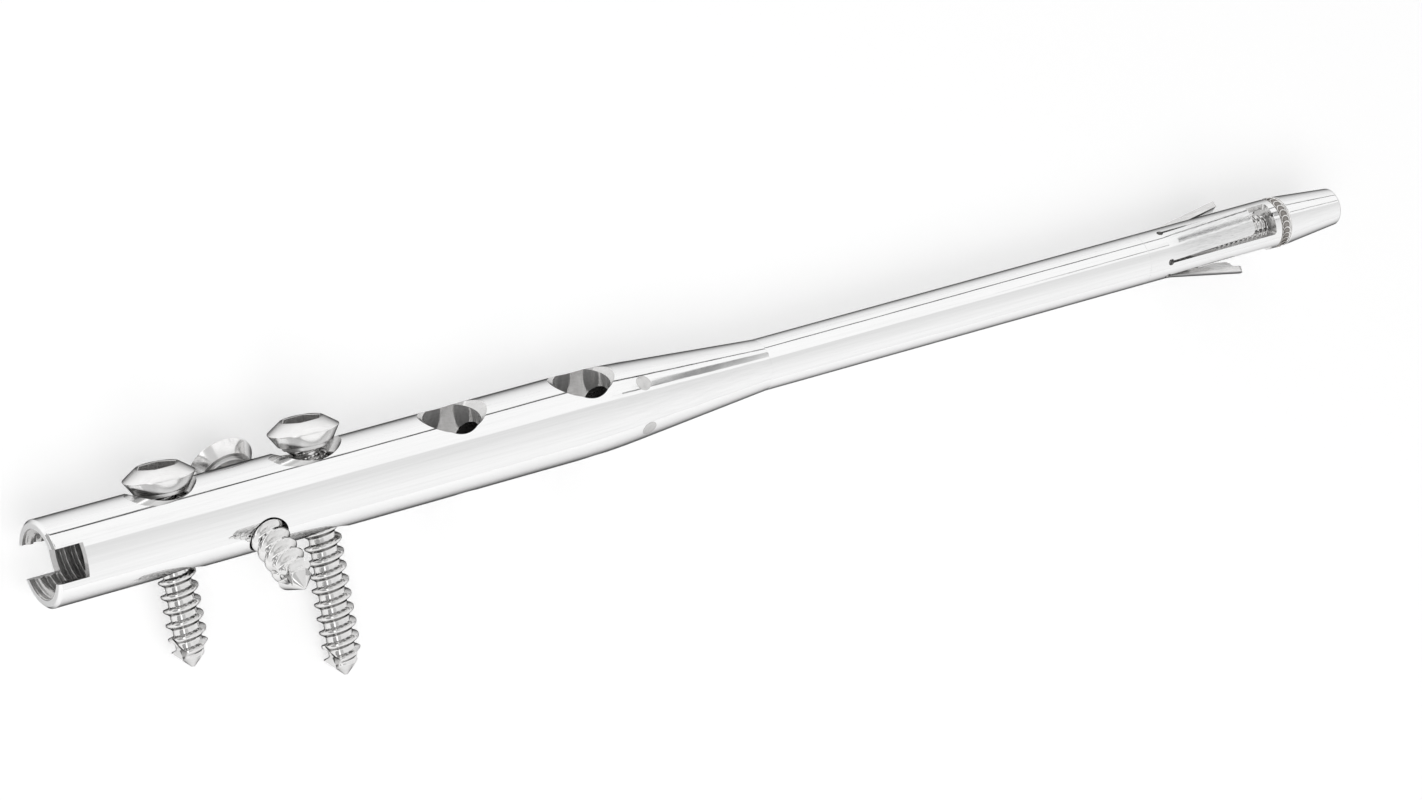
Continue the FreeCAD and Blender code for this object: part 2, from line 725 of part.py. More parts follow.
os.makedirs("parts", exist_ok=True)
for piece in pieces:
    piece.Shape.exportStep(f"parts/{piece.Label}.step")
    box = piece.Shape.BoundBox
    print(f"{piece.Label}: {len(piece.Shape.Solids)} solid, {piece.Shape.Volume:.3f} mm3, "
          f"x {box.XMin:.2f} to {box.XMax:.2f}, z {box.ZMin:.2f} to {box.ZMax:.2f}")
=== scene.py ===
import json
import math
import bpy
import numpy as np
from mathutils import Matrix, Vector

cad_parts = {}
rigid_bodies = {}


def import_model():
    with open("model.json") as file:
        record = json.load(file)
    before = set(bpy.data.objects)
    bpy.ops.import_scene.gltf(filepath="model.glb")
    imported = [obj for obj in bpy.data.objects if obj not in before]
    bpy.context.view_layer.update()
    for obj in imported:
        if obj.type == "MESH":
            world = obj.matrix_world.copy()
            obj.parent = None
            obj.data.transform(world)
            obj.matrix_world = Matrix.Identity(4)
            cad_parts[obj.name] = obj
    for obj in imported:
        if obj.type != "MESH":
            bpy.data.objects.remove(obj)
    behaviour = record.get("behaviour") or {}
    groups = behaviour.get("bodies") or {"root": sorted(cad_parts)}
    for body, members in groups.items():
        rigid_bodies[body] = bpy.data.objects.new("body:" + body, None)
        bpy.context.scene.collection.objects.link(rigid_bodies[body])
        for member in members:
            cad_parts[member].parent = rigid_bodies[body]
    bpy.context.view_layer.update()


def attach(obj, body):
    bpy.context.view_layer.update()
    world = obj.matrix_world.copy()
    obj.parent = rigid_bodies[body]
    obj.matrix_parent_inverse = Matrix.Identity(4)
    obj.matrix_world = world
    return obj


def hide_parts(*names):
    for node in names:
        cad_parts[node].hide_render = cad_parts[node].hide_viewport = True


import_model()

# Shapes are worked out in millimetres in the nail's own frame, +X towards the nose, and are
# turned about X to the rest pose and scaled to metres when their mesh is made.
millimetre = 0.001
fullTurn = 2 * math.pi
screwRoll = math.radians(-71.5)
talonRoll = screwRoll + math.radians(65)
# Radius of the small ring that closes a turned shape on its axis
poleRadius = 0.02
# Room between end faces of neighbours that meet
faceGap = 0.002


def rollMatrix(angle):
    return np.array(Matrix.Rotation(angle, 3, "X"))


def ringAngles(segments):
    return np.arange(segments) / segments * fullTurn


def ring(x, radius, angles):
    # Points round the nail's axis; the radius is a number, or has a value for each angle
    return np.stack([np.full(len(angles), x), radius * np.sin(angles), radius * np.cos(angles)], 1)


def uprightRing(height, radius, angles):
    return np.stack([radius * np.cos(angles), radius * np.sin(angles), np.full(len(angles), height)], 1)


def arcCorner(before, corner, after, radius, steps):
    # Points of a rounding of the given radius at a corner of an outline
    corner = np.array(corner, float)
    inward, outward = np.array(before) - corner, np.array(after) - corner
    reach = min(np.linalg.norm(inward), np.linalg.norm(outward))
    inward /= np.linalg.norm(inward)
    outward /= np.linalg.norm(outward)
    half = math.acos(max(-1, min(1, float(inward @ outward)))) / 2
    length = min(radius / math.tan(half), reach * 0.49)
    radius = length * math.tan(half)
    middle = inward + outward
    centre = corner + middle / np.linalg.norm(middle) * radius / math.sin(half)
    start = corner + inward * length - centre
    end = corner + outward * length - centre
    sweep = math.pi - 2 * half
    return [tuple(centre + (start * math.sin((1 - share) * sweep) + end * math.sin(share * sweep))
                  / math.sin(sweep)) for share in np.linspace(0, 1, steps + 1)]


def roundedOutline(corners, steps):
    # Open outline; its corners are (x, y) or (x, y, radius)
    points = []
    for place, corner in enumerate(corners):
        if len(corner) < 3 or place in (0, len(corners) - 1):
            points.append(tuple(corner[:2]))
        else:
            points += arcCorner(corners[place - 1][:2], corner[:2], corners[place + 1][:2], corner[2], steps)
    return points


def gridOfRows(rows, closedRows):
    # Joins rings of equally many points, in a closed loop of rings or between two flat ends
    count = len(rows[0])
    points = np.concatenate([np.asarray(row, float) for row in rows])
    faces = []
    for row in range(len(rows) if closedRows else len(rows) - 1):
        low, high = row * count, (row + 1) % len(rows) * count
        faces += [(low + place, low + (place + 1) % count, high + (place + 1) % count, high + place)
                  for place in range(count)]
    if not closedRows:
        faces += [tuple(reversed(range(count))), tuple(range((len(rows) - 1) * count, len(rows) * count))]
    return points, faces


def lathe(profile, segments):
    # Tube turned about X from a closed profile of (x, radius) points
    angles = ringAngles(segments)
    return gridOfRows([ring(x, radius, angles) for x, radius in profile], True)


def volumeOf(points, faces):
    return sum(float(points[face[0]] @ np.cross(points[second], points[third]))
               for face in faces for second, third in zip(face[1:], face[2:])) / 6


def addObject(name, data):
    added = bpy.data.objects.new(name, data)
    bpy.context.scene.collection.objects.link(added)
    return added


def shadeSmooth(mesh):
    for polygon in mesh.polygons:
        polygon.use_smooth = True


def makePiece(name, shape, roll=0.0, offset=(0, 0, 0), sharp=30.0):
    # Closed mesh in metres, its faces outward, smooth but for edges sharper than the given angle
    points, faces = shape
    if volumeOf(points, faces) < 0:
        faces = [tuple(reversed(face)) for face in faces]
    placed = (points @ rollMatrix(roll).T + np.array(offset)) * millimetre
    mesh = bpy.data.meshes.new(name)
    mesh.from_pydata(placed.tolist(), [], faces)
    mesh.validate()
    shadeSmooth(mesh)
    mesh.set_sharp_from_angle(angle=math.radians(sharp))
    return addObject(name, mesh)


def applyModifiers(piece):
    graph = bpy.context.evaluated_depsgraph_get()
    mesh = bpy.data.meshes.new_from_object(piece.evaluated_get(graph))
    piece.modifiers.clear()
    piece.data = mesh


def mergePieces(first, second):
    # Adds the second piece's mesh to the first one, each with its own finish
    both = [first, second]
    with bpy.context.temp_override(active_object=first, object=first, selected_objects=both,
                                   selected_editable_objects=both):
        bpy.ops.object.join()


def finishPiece(piece, body, node, material=None):
    if material:
        piece.data.materials.append(material)
    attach(piece, body)
    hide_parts(node)
    print("made", piece.name, len(piece.data.polygons), "faces")


# Node trees
def addSockets(tree, direction, **kinds):
    for name, kind in kinds.items():
        tree.interface.new_socket(name, in_out=direction, socket_type=f"NodeSocket{kind}")


def fill(tree, node, inputs):
    # Each input takes a value, or a link from another node's output
    for name, source in dict(inputs).items():
        if isinstance(source, bpy.types.NodeSocket):
            tree.links.new(source, node.inputs[name])
        else:
            node.inputs[name].default_value = source
    return node


def addNode(tree, kind, inputs=(), **settings):
    node = tree.nodes.new(kind)
    for name, value in settings.items():
        setattr(node, name, value)
    return fill(tree, node, inputs)


def mathOf(tree, operation, first, second):
    return addNode(tree, "ShaderNodeMath", {0: first, 1: second}, operation=operation).outputs[0]


def mixOf(tree, kind, factor, first, second, **settings):
    inputs = {"Factor": factor, "A": first, "B": second}
    return addNode(tree, "ShaderNodeMix", inputs, data_type=kind, **settings).outputs["Result"]


def attributeOf(tree, name):
    return addNode(tree, "ShaderNodeAttribute", attribute_name=name).outputs["Fac"]


def newMaterial(name):
    material = bpy.data.materials.new(name)
    material.use_nodes = True
    return material, material.node_tree


# Finishes
def steelWear():
    # Drawn streaks along the nail, smudges and fine crossing scratches of handled steel
    tree = bpy.data.node_groups.new("steelWear", "ShaderNodeTree")
    addSockets(tree, "INPUT", Light="Color", Dark="Color", Streaks="Float", Smooth="Float", Rough="Float",
               Scratches="Float", Stretch="Vector")
    addSockets(tree, "OUTPUT", Color="Color", Roughness="Float", Height="Float")
    given = addNode(tree, "NodeGroupInput").outputs
    place = addNode(tree, "ShaderNodeTexCoord").outputs["Object"]

    def stretched(stretch, detail, low, high, rotation=(0, 0, 0)):
        # Noise that is stretched along the axes, with its values from low to high spread over 0 to 1
        mapping = addNode(tree, "ShaderNodeMapping", {
            "Vector": place, "Scale": stretch, "Rotation": rotation})
        noise = addNode(tree, "ShaderNodeTexNoise", {
            "Vector": mapping.outputs["Vector"], "Scale": 1.0, "Detail": detail, "Roughness": 0.6})
        return addNode(tree, "ShaderNodeMapRange", {
            "Value": noise.outputs["Fac"], "From Min": low, "From Max": high}).outputs["Result"]

    streaks = stretched(given["Stretch"], 4, 0.35, 0.7)
    smudges = stretched((420, 420, 420), 5, 0.4, 0.68)
    crossing = stretched((160, 9000, 9000), 2, 0.66, 0.74, (0.4, 0.7, 0.5))
    crossing = mathOf(tree, "MULTIPLY", crossing, given["Scratches"])
    faint = mathOf(tree, "MULTIPLY", smudges, mathOf(tree, "MULTIPLY", given["Streaks"], 0.4))
    shade = mathOf(tree, "MAXIMUM", mathOf(tree, "MULTIPLY", streaks, given["Streaks"]), faint)
    shade = mathOf(tree, "MINIMUM", mathOf(tree, "ADD", shade, crossing), 1.0)
    dull = mathOf(tree, "MAXIMUM", smudges, crossing)
    addNode(tree, "NodeGroupOutput", {
        "Color": mixOf(tree, "RGBA", shade, given["Light"], given["Dark"]),
        "Roughness": mixOf(tree, "FLOAT", dull, given["Smooth"], given["Rough"]),
        "Height": mathOf(tree, "SUBTRACT", streaks, crossing)})
    return tree


wear = steelWear()


def wornBy(tree, tones, roughness, marks, stretch, warmth):
    # Tones and roughnesses are (clean, worn) pairs, marks are the strength of (streaks, scratches)
    light, dark = ((tone, tone - warm, tone - 2 * warm, 1) for tone, warm in zip(tones, warmth))
    return addNode(tree, "ShaderNodeGroup", {
        "Light": light, "Dark": dark, "Streaks": marks[0], "Smooth": roughness[0], "Rough": roughness[1],
        "Scratches": marks[1], "Stretch": stretch}, node_tree=wear)


def steel(name, tones, roughness, marks, edge, bump=0.03, stretch=(90, 5200, 5200), metal=1.0,
          warmth=(0.005, 0.005)):
    # The edge is the tone of reflections at grazing angles
    material, tree = newMaterial(name)
    worn = wornBy(tree, tones, roughness, marks, stretch, warmth)
    relief = addNode(tree, "ShaderNodeBump", {
        "Strength": bump, "Distance": 0.02 * millimetre, "Height": worn.outputs["Height"]})
    fill(tree, tree.nodes["Principled BSDF"], {
        "Metallic": metal, "Specular Tint": (edge, edge, edge, 1), "Base Color": worn.outputs["Color"],
        "Roughness": worn.outputs["Roughness"], "Normal": relief.outputs["Normal"]})
    return material


def nodeOfType(tree, kind):
    return next(node for node in tree.nodes if node.type == kind)


def bentSteel():
    # The sleeve's finish, which turns to coarser brushing where the talons are bent out, and to a darker grey
    # there that is painted shade for the dark reflection along the talons
    material = steel("sleeveSteel", (0.95, 0.8), (0.05, 0.1), (0.35, 0.2), 0.06, 0.05, warmth=(0, 0))
    tree = material.node_tree
    plain, relief, shader = (nodeOfType(tree, kind) for kind in ("GROUP", "BUMP", "BSDF_PRINCIPLED"))
    # Coarser brushing marks, with darker tones that are painted shade
    brushedAndShaded = wornBy(tree, (0.86, 0.6), (0.08, 0.14), (0.45, 0.5), (60, 9000, 9000), (0, 0))
    bend = attributeOf(tree, "bend")
    for output, kind, node, name in (
            ("Color", "RGBA", shader, "Base Color"), ("Roughness", "FLOAT", shader, "Roughness"),
            ("Height", "FLOAT", relief, "Height")):
        fill(tree, node, {name: mixOf(tree, kind, bend, plain.outputs[output], brushedAndShaded.outputs[output])})
    return material


def weldedSteel():
    # Each weld spot has a duller straw-grey middle, and a bright raised rim with a dark outline
    material = steel("weldSpots", (0.9, 0.62), (0.14, 0.3), (0.6, 0.1), 0.1, 0.2, (1400, 1400, 1400),
                     warmth=(0.01, 0.015))
    tree = material.node_tree
    ramp = addNode(tree, "ShaderNodeValToRGB", {"Fac": attributeOf(tree, "fromMiddle")})
    marks = ramp.color_ramp.elements
    marks[0].color = (0.42, 0.405, 0.39, 1)
    marks[1].color = (0.5, 0.47, 0.45, 1)
    for position, colour in ((0.56, (0.3, 0.285, 0.275, 1)), (0.68, (0.16, 0.15, 0.14, 1)),
                             (0.72, (1, 1, 1, 1)), (0.88, (1, 1, 1, 1)), (0.93, (0.14, 0.13, 0.12, 1))):
        marks.new(position).color = colour
    worn = nodeOfType(tree, "GROUP")
    tinted = mixOf(tree, "RGBA", 1.0, worn.outputs["Color"], ramp.outputs["Color"], blend_type="MULTIPLY")
    fill(tree, tree.nodes["Principled BSDF"], {"Base Color": tinted})
    return material


polishedSteel = steel("polishedSteel", (0.96, 0.82), (0.04, 0.09), (0.35, 0.15), 0.06, warmth=(0, 0))
boredSteel = steel("boredSteel", (0.8, 0.5), (0.06, 0.14), (0.4, 0.3), 0.6, metal=0.7)
# Cannula bore: reamer-finished steel painted near-black, as painted shade deep inside the bore
reamedSteel = steel("reamedSteel", (0.22, 0.1), (0.16, 0.3), (0.5, 0.3), 0.3, metal=0.8,
                    warmth=(0.005, 0.0025))
tappedSteel = steel("tappedSteel", (0.62, 0.34), (0.14, 0.24), (0.3, 0.1), 0.6, 0.01, metal=0.75)
seatSteel = steel("seatSteel", (0.74, 0.5), (0.1, 0.2), (0.4, 0.3), 0.3, metal=0.9)
sleeveSteel = bentSteel()
cutSteel = steel("cutSteel", (0.86, 0.55), (0.2, 0.3), (0.5, 0.2), 0.5)
screwSteel = steel("screwSteel", (0.86, 0.6), (0.07, 0.14), (0.4, 0.3), 0.02, 0.03, (900, 900, 2600))
# Neck and lower cone of the screw heads: rougher, and darker than the top cone as painted shade
coneSteel = steel("coneSteel", (0.8, 0.56), (0.3, 0.42), (0.5, 0.3), 0.06, 0.05, (500, 500, 3200))
headSteel = steel("headSteel", (0.95, 0.8), (0.16, 0.26), (0.4, 0.3), 0.06, 0.05, (900, 900, 2600))
socketSteel = steel("socketSteel", (0.62, 0.42), (0.2, 0.34), (0.5, 0.2), 0.8, metal=0.85)
rodSteel = steel("rodSteel", (0.88, 0.6), (0.04, 0.09), (0.4, 0.2), 0.2)
plugSteel = steel("plugSteel", (0.72, 0.5), (0.14, 0.3), (0.6, 0.2), 0.1, 0.15, (1500, 1500, 1500))
weldSteel = weldedSteel()
print("finishes ready")


# Driving-end body
drivingEnd = {
    "radius": 3.1, "rim": 0.2, "threadRadius": 2.5, "threadRoot": 2.1, "threadDepth": 6.4, "threadPitch": 0.8,
    "threadRows": 150, "cannula": 1.6, "taperStart": 43.8, "taperEnd": 57.6, "endRadius": 1.9,
    "notchDepth": 2.2, "notchWidth": 2.4, "notchTurn": -3.0,
    "lockHoles": ((9.75, 0.0, True), (15.9, -53.0, False), (21.0, 0.0, True)),
    "lockRadius": 1.5, "seatSlope": 0.6316, "seatMouth": 2.55, "seatFloor": 1.95,
    "neckBore": 1.75, "neckFloor": 1.8, "exitRadius": 2.1,
    "crossHoles": (32.0, 42.6), "crossTurn": 20.0, "crossRadius": 2.05, "crossMouth": 2.6,
    "segments": 240, "cutterSegments": 96,
}
# How near a face's middle lies to the bore's surface or ends to count as part of it
boreMargin = 0.01


def eased(height):
    return height * height * (3 - 2 * height)


def boreRadius(sizes, x, angles):
    # Radius of the jig thread's bore at a place along the nail and round it
    phase = (x / sizes["threadPitch"] - angles / fullTurn) % 1
    crest = eased(np.clip(1.5 - np.abs(phase - 0.5) * 4.2, 0, 1))
    fade = np.clip((x - 0.12) / 0.2, 0, 1) * np.clip((sizes["threadDepth"] - x - 0.25) / 0.2, 0, 1)
    return sizes["threadRadius"] - (sizes["threadRadius"] - sizes["threadRoot"]) * crest * fade


def threadNormals(sizes, points):
    # Exact normals of the threaded bore at points of the rolled nail
    turn = rollMatrix(screwRoll)
    x, y, z = (points @ turn).T
    angle, small = np.arctan2(y, z), 0.01
    along = (boreRadius(sizes, x + small, angle) - boreRadius(sizes, x - small, angle)) / (2 * small)
    around = boreRadius(sizes, x, angle + small) - boreRadius(sizes, x, angle - small)
    around /= 2 * small * np.hypot(y, z)
    normals = np.stack([along, around * np.cos(angle) - np.sin(angle),
                        -around * np.sin(angle) - np.cos(angle)], 1)
    return normals / np.linalg.norm(normals, axis=1, keepdims=True) @ turn.T


def drivingEndBase(sizes):
    radius, rim, end, depth = (sizes[name] for name in ("radius", "rim", "taperEnd", "threadDepth"))
    outer = roundedOutline([
        (0, sizes["threadRadius"]), (0, radius - rim, 0.06), (rim, radius, 0.12),
        (sizes["taperStart"], radius, 60), (end, sizes["endRadius"]), (end, sizes["cannula"]),
        (depth, sizes["cannula"])], steps=6)
    angles = ringAngles(sizes["segments"])
    rows = [ring(x, radius, angles) for x, radius in outer]
    for row in range(sizes["threadRows"] - 1, -1, -1):
        x = depth * (row + 1) / sizes["threadRows"]
        rows.append(ring(x, boreRadius(sizes, x, angles), angles))
    return gridOfRows(rows, True)


def crossCutter(profile, x, turn, segments):
    # Turned cutter across the nail, from a profile of (radius, height) points
    angles = ringAngles(segments)
    points, faces = gridOfRows([uprightRing(height, radius, angles) for radius, height in profile], False)
    return points @ rollMatrix(math.radians(turn)).T + np.array([x, 0, 0]), faces


def boxShape(low, high, turn):
    corners = [(x, y, z) for x in (low[0], high[0]) for y in (low[1], high[1]) for z in (low[2], high[2])]
    faces = [(0, 1, 3, 2), (4, 6, 7, 5), (0, 4, 5, 1), (2, 3, 7, 6), (0, 2, 6, 4), (1, 5, 7, 3)]
    return np.array(corners, float) @ rollMatrix(math.radians(turn)).T, faces


def cutAll(piece, cutters):
    # One exact boolean for each cutter; a cut face keeps its cutter's material slot
    for cutter in cutters:
        modifier = piece.modifiers.new("cut", "BOOLEAN")
        modifier.operation = "DIFFERENCE"
        modifier.solver = "EXACT"
        modifier.material_mode = "TRANSFER"
        modifier.object = cutter
    applyModifiers(piece)
    for cutter in cutters:
        bpy.data.objects.remove(cutter)


def meshArrays(mesh):
    # Points in millimetres, each corner's point, and each corner's normal
    points = np.zeros(len(mesh.vertices) * 3)
    mesh.vertices.foreach_get("co", points)
    corners = np.zeros(len(mesh.loops), int)
    mesh.loops.foreach_get("vertex_index", corners)
    normals = np.zeros(len(mesh.loops) * 3)
    mesh.corner_normals.foreach_get("vector", normals)
    return points.reshape(-1, 3) / millimetre, corners, normals.reshape(-1, 3)


def turnedNormals(piece, axes, sizes):
    # Exact normals for faces turned about a known axis: axes maps a material name to (point, direction)
    mesh = piece.data
    mesh.set_sharp_from_angle(angle=math.radians(30))
    points, corners, normals = meshArrays(mesh)
    threaded = []
    for polygon in mesh.polygons:
        name = mesh.materials[polygon.material_index].name
        if name not in axes:
            continue
        point, direction = axes[name]
        middle = polygon.center / millimetre
        inBore = math.hypot(middle.y, middle.z) < sizes["threadRadius"] + boreMargin
        if name == "polishedSteel" and inBore and boreMargin < middle.x < sizes["threadDepth"] - 0.05:
            threaded += polygon.loop_indices
            continue
        normal = np.array(polygon.normal)
        along = normal @ direction
        across = normal - along * direction
        size = np.linalg.norm(across)
        if size < 1e-3:
            continue
        for corner in polygon.loop_indices:
            spoke = points[corners[corner]] - point
            spoke -= (spoke @ direction) * direction
            length = np.linalg.norm(spoke)
            if length > 1e-6:
                normals[corner] = along * direction + math.copysign(size / length, spoke @ across) * spoke
    normals[threaded] = threadNormals(sizes, points[corners[threaded]])
    shadeSmooth(mesh)
    mesh.normals_split_custom_set(normals.tolist())


def lockHoleProfile(sizes, cone):
    # (radius, height) points of a lock hole: exit cone, bore, neck and conical seat
    past, top, bore, slope = 0.95, sizes["radius"], sizes["lockRadius"], sizes["seatSlope"]
    neck, neckFloor, floor = sizes["neckBore"], sizes["neckFloor"], sizes["seatFloor"]
    foot = [(bore, -top - past)]
    if cone:
        foot = [(sizes["exitRadius"] + past, -top - past), (bore, sizes["exitRadius"] - bore - top)]
    seatFloor = top - (sizes["seatMouth"] - floor) / slope
    return foot + [(bore, neckFloor), (neck, neckFloor), (neck, seatFloor), (floor, seatFloor),
                   (sizes["seatMouth"] + past * slope, top + past)]


def crossHoleProfile(sizes):
    past = 0.2
    bore, mouth = sizes["crossRadius"], sizes["crossMouth"] + past
    reach, floor = sizes["radius"] + past, sizes["radius"] - (sizes["crossMouth"] - bore)
    return [(mouth, -reach), (bore, -floor), (bore, floor), (mouth, reach)]


def makeDrivingEnd(sizes):
    piece = makePiece("drivingEnd", drivingEndBase(sizes), screwRoll)
    piece.data.materials.append(polishedSteel)
    axes = {"polishedSteel": (np.zeros(3), np.array([1.0, 0, 0]))}
    cutters = []

    def addCutter(name, shape, finish):
        cutter = makePiece(name, shape, screwRoll)
        cutter.data.materials.append(finish)
        cutters.append(cutter)

    def addHole(name, profile, x, turn, finish):
        # Each hole has its own copy of the finish, by which its faces' axis is found
        finish, number = finish.copy(), name[-1]
        finish.name = finish.name.split(".")[0] + number
        addCutter(name, crossCutter(profile, x, turn, sizes["cutterSegments"]), finish)
        roll = screwRoll + math.radians(turn)
        axes[finish.name] = (np.array([x, 0, 0]), np.array([0, -math.sin(roll), math.cos(roll)]))

    half = sizes["notchWidth"] / 2
    notch = boxShape((-0.5, -half, -4), (sizes["notchDepth"], half, 4), sizes["notchTurn"] + 90)
    addCutter("flatNotch", notch, seatSteel)
    for number, (x, turn, cone) in enumerate(sizes["lockHoles"], start=1):
        addHole(f"lockHole{number}", lockHoleProfile(sizes, cone), x, turn, seatSteel)
    for number, x in enumerate(sizes["crossHoles"], start=1):
        addHole(f"crossHole{number}", crossHoleProfile(sizes), x, sizes["crossTurn"], boredSteel)
    cutAll(piece, cutters)
    turnedNormals(piece, axes, sizes)
    finishBores(piece.data, sizes)
    finishPiece(piece, "nail", "driving_end_body")


def finishBores(mesh, sizes):
    # The turned bar's own faces inside the bore are tapped, or in the cannula reamer-finished and painted
    # near-black as shade deep in the bore; the rest are polished
    for place, material in enumerate(mesh.materials):
        for finish in (seatSteel, boredSteel):
            if material.name.startswith(finish.name):
                mesh.materials[place] = finish
    mesh.materials.append(tappedSteel)
    mesh.materials.append(reamedSteel)
    tapped, shadedReamedSlot = len(mesh.materials) - 2, len(mesh.materials) - 1
    for polygon in mesh.polygons:
        if mesh.materials[polygon.material_index] is not polishedSteel:
            continue
        middle = polygon.center / millimetre
        radius = math.hypot(middle.y, middle.z)
        inThread = boreMargin < middle.x < sizes["threadDepth"] + boreMargin
        if inThread and radius < sizes["threadRadius"] + boreMargin:
            polygon.material_index = tapped
        elif radius < sizes["cannula"] + 0.05:
            polygon.material_index = shadedReamedSlot


makeDrivingEnd(drivingEnd)


# Copies round the nail, for weld spots, plugs and tongues
def copiesRoundNail(piece, copies, finish, jitter=0.0, seed=0):
    tree = bpy.data.node_groups.new("copiesRoundNail", "GeometryNodeTree")
    addSockets(tree, "INPUT", Shape="Geometry", Copies="Int", Jitter="Float", Seed="Int", Finish="Material")
    addSockets(tree, "OUTPUT", Shape="Geometry")
    given = addNode(tree, "NodeGroupInput").outputs
    points = addNode(tree, "GeometryNodeMeshLine", {"Offset": (0, 0, 0), "Count": given["Copies"]})
    index = addNode(tree, "GeometryNodeInputIndex").outputs[0]
    turn = mathOf(tree, "MULTIPLY", mathOf(tree, "DIVIDE", index, given["Copies"]), fullTurn)
    spread = addNode(tree, "FunctionNodeRandomValue", {"Seed": given["Seed"]}, data_type="FLOAT")
    low, high = [socket for socket in spread.inputs if socket.type == "VALUE"][:2]
    tree.links.new(mathOf(tree, "MULTIPLY", given["Jitter"], -1), low)
    tree.links.new(given["Jitter"], high)
    draw = next(socket for socket in spread.outputs if socket.type == "VALUE")
    rotation = addNode(tree, "ShaderNodeCombineXYZ", {"X": mathOf(tree, "ADD", turn, draw)}).outputs[0]
    copy = addNode(tree, "GeometryNodeInstanceOnPoints", {
        "Points": points.outputs["Mesh"], "Instance": given["Shape"], "Rotation": rotation})
    real = addNode(tree, "GeometryNodeRealizeInstances", {"Geometry": copy.outputs["Instances"]})
    paint = addNode(tree, "GeometryNodeSetMaterial", {
        "Geometry": real.outputs["Geometry"], "Material": given["Finish"]})
    addNode(tree, "NodeGroupOutput", {"Shape": paint.outputs["Geometry"]})
    modifier = piece.modifiers.new("copies", "NODES")
    modifier.node_group = tree
    values = {"Copies": copies, "Jitter": jitter, "Seed": seed, "Finish": finish}
    for item in tree.interface.items_tree:
        if item.in_out == "INPUT" and item.name in values:
            modifier[item.identifier] = values[item.name]
    applyModifiers(piece)


plugWeld = {"x": 46.7, "radius": 0.585, "copies": 5, "turn": -87.0, "depth": 0.2, "rise": 0.02,
            "surface": 2.848, "taper": -0.087, "jitter": 0.004, "seed": 3, "rings": 14, "segments": 40}


def diskOnNail(sizes, heights, tilt=0.0):
    # Closed round cap lying on the nail's surface: heights are (share of the radius, height) rings
    angles = ringAngles(sizes["segments"])
    rows = []
    for share, height in heights:
        along = sizes["radius"] * share * np.cos(angles)
        around = sizes["radius"] * share * np.sin(angles)
        radius = sizes["surface"] + sizes["taper"] * along + height + tilt * around / sizes["radius"]
        turn = around / sizes["surface"]
        rows.append(np.stack([sizes["x"] + along, radius * np.sin(turn), radius * np.cos(turn)], 1))
    return gridOfRows(rows, False)


def makePlugWelds(sizes):
    heights = [(0.02, -sizes["depth"]), (0.98, -sizes["depth"]), (1.0, -0.03), (0.985, 0.012)]
    for step in range(sizes["rings"] + 1):
        share = 0.96 * (1 - step / sizes["rings"]) + 0.01
        heights.append((share, sizes["rise"] * (0.75 + 0.25 * math.cos(share * 17)) - 0.012 * (1 - share)))
    piece = makePiece("plugWelds", diskOnNail(sizes, heights), screwRoll + math.radians(sizes["turn"]))
    copiesRoundNail(piece, sizes["copies"], plugSteel, sizes["jitter"], sizes["seed"])
    finishPiece(piece, "nail", "plug_welds")


makePlugWelds(plugWeld)

# Shaft tube, turned down at both ends to fit inside its neighbours
shaftTube = {"radius": 1.9, "bore": 1.2, "start": 46.0, "step": 57.6, "end": 91.5, "spigotEnd": 92.5,
             "rearSpigot": 1.58, "frontSpigot": 1.42, "edge": 0.03, "segments": 192}


def makeShaftTube(sizes):
    edge, radius = sizes["edge"], sizes["radius"]
    # Each rim as (distance from the end, radius); its last row keeps the long side's shading straight
    rim = [(0, radius - edge), (edge * 0.4, radius - edge * 0.25), (edge, radius), (edge * 2, radius)]
    profile = [(sizes["start"], sizes["bore"]), (sizes["start"], sizes["rearSpigot"]),
               (sizes["step"] + faceGap, sizes["rearSpigot"])]
    profile += [(sizes["step"] + max(away, faceGap), height) for away, height in rim]
    profile += [(sizes["end"] - away, height) for away, height in reversed(rim)]
    profile += [(sizes["end"], sizes["frontSpigot"]), (sizes["spigotEnd"], sizes["frontSpigot"]),
                (sizes["spigotEnd"], sizes["bore"])]
    piece = makePiece("shaftTube", lathe(profile, sizes["segments"]), screwRoll)
    finishPiece(piece, "nail", "shaft_tube", polishedSteel)


makeShaftTube(shaftTube)

# Talon sleeve: a laser-cut tube, with three talons that stay joined to it at their roots
talonSleeve = {
    "start": 91.5, "seamStart": 103.85, "seamFloor": 1.75, "end": 104.35, "outer": 1.9, "bore": 1.43,
    "root": 93.4, "windowEnd": 103.35, "windowHalf": 42.0, "corner": 0.25, "slot": 0.2, "keyhole": 0.25,
    "talonLength": 7.3, "talonCorner": 0.45, "bendRadius": 6.0, "spread": 10.5, "tongueSlot": 0.3,
    "fadeLength": 2.4, "talons": 3, "segments": 216, "bendRows": 13, "plainRows": (96.0, 98.0, 100.0, 102.0),
}


def windowOutline(sizes):
    # (x, distance round the tube) corners of the cut that frees a talon and opens the window past its end
    root, keyhole, end = sizes["root"], sizes["keyhole"], sizes["windowEnd"]
    talonEnd, talonCorner, corner = root + sizes["talonLength"], sizes["talonCorner"], sizes["corner"]
    far = math.radians(sizes["windowHalf"]) * sizes["outer"]
    near = far - sizes["slot"]
    middle = (far + near) / 2
    start = root + 0.3
    opening = math.asin(sizes["slot"] / 2 / keyhole)
    circle = [(root + keyhole * math.cos(turn), keyhole * math.sin(turn))
              for turn in np.linspace(opening, fullTurn - opening, 25)]
    outline = [(x, middle + y) for x, y in circle]
    outline += roundedOutline([
        (start, near), (talonEnd, near, talonCorner), (talonEnd, -near, talonCorner), (start, -near)],
        steps=10)
    outline += [(x, -middle + y) for x, y in circle]
    outline += roundedOutline([(start, -far), (end, -far, corner), (end, far, corner), (start, far)], steps=8)
    return subdivided(outline, 0.12)


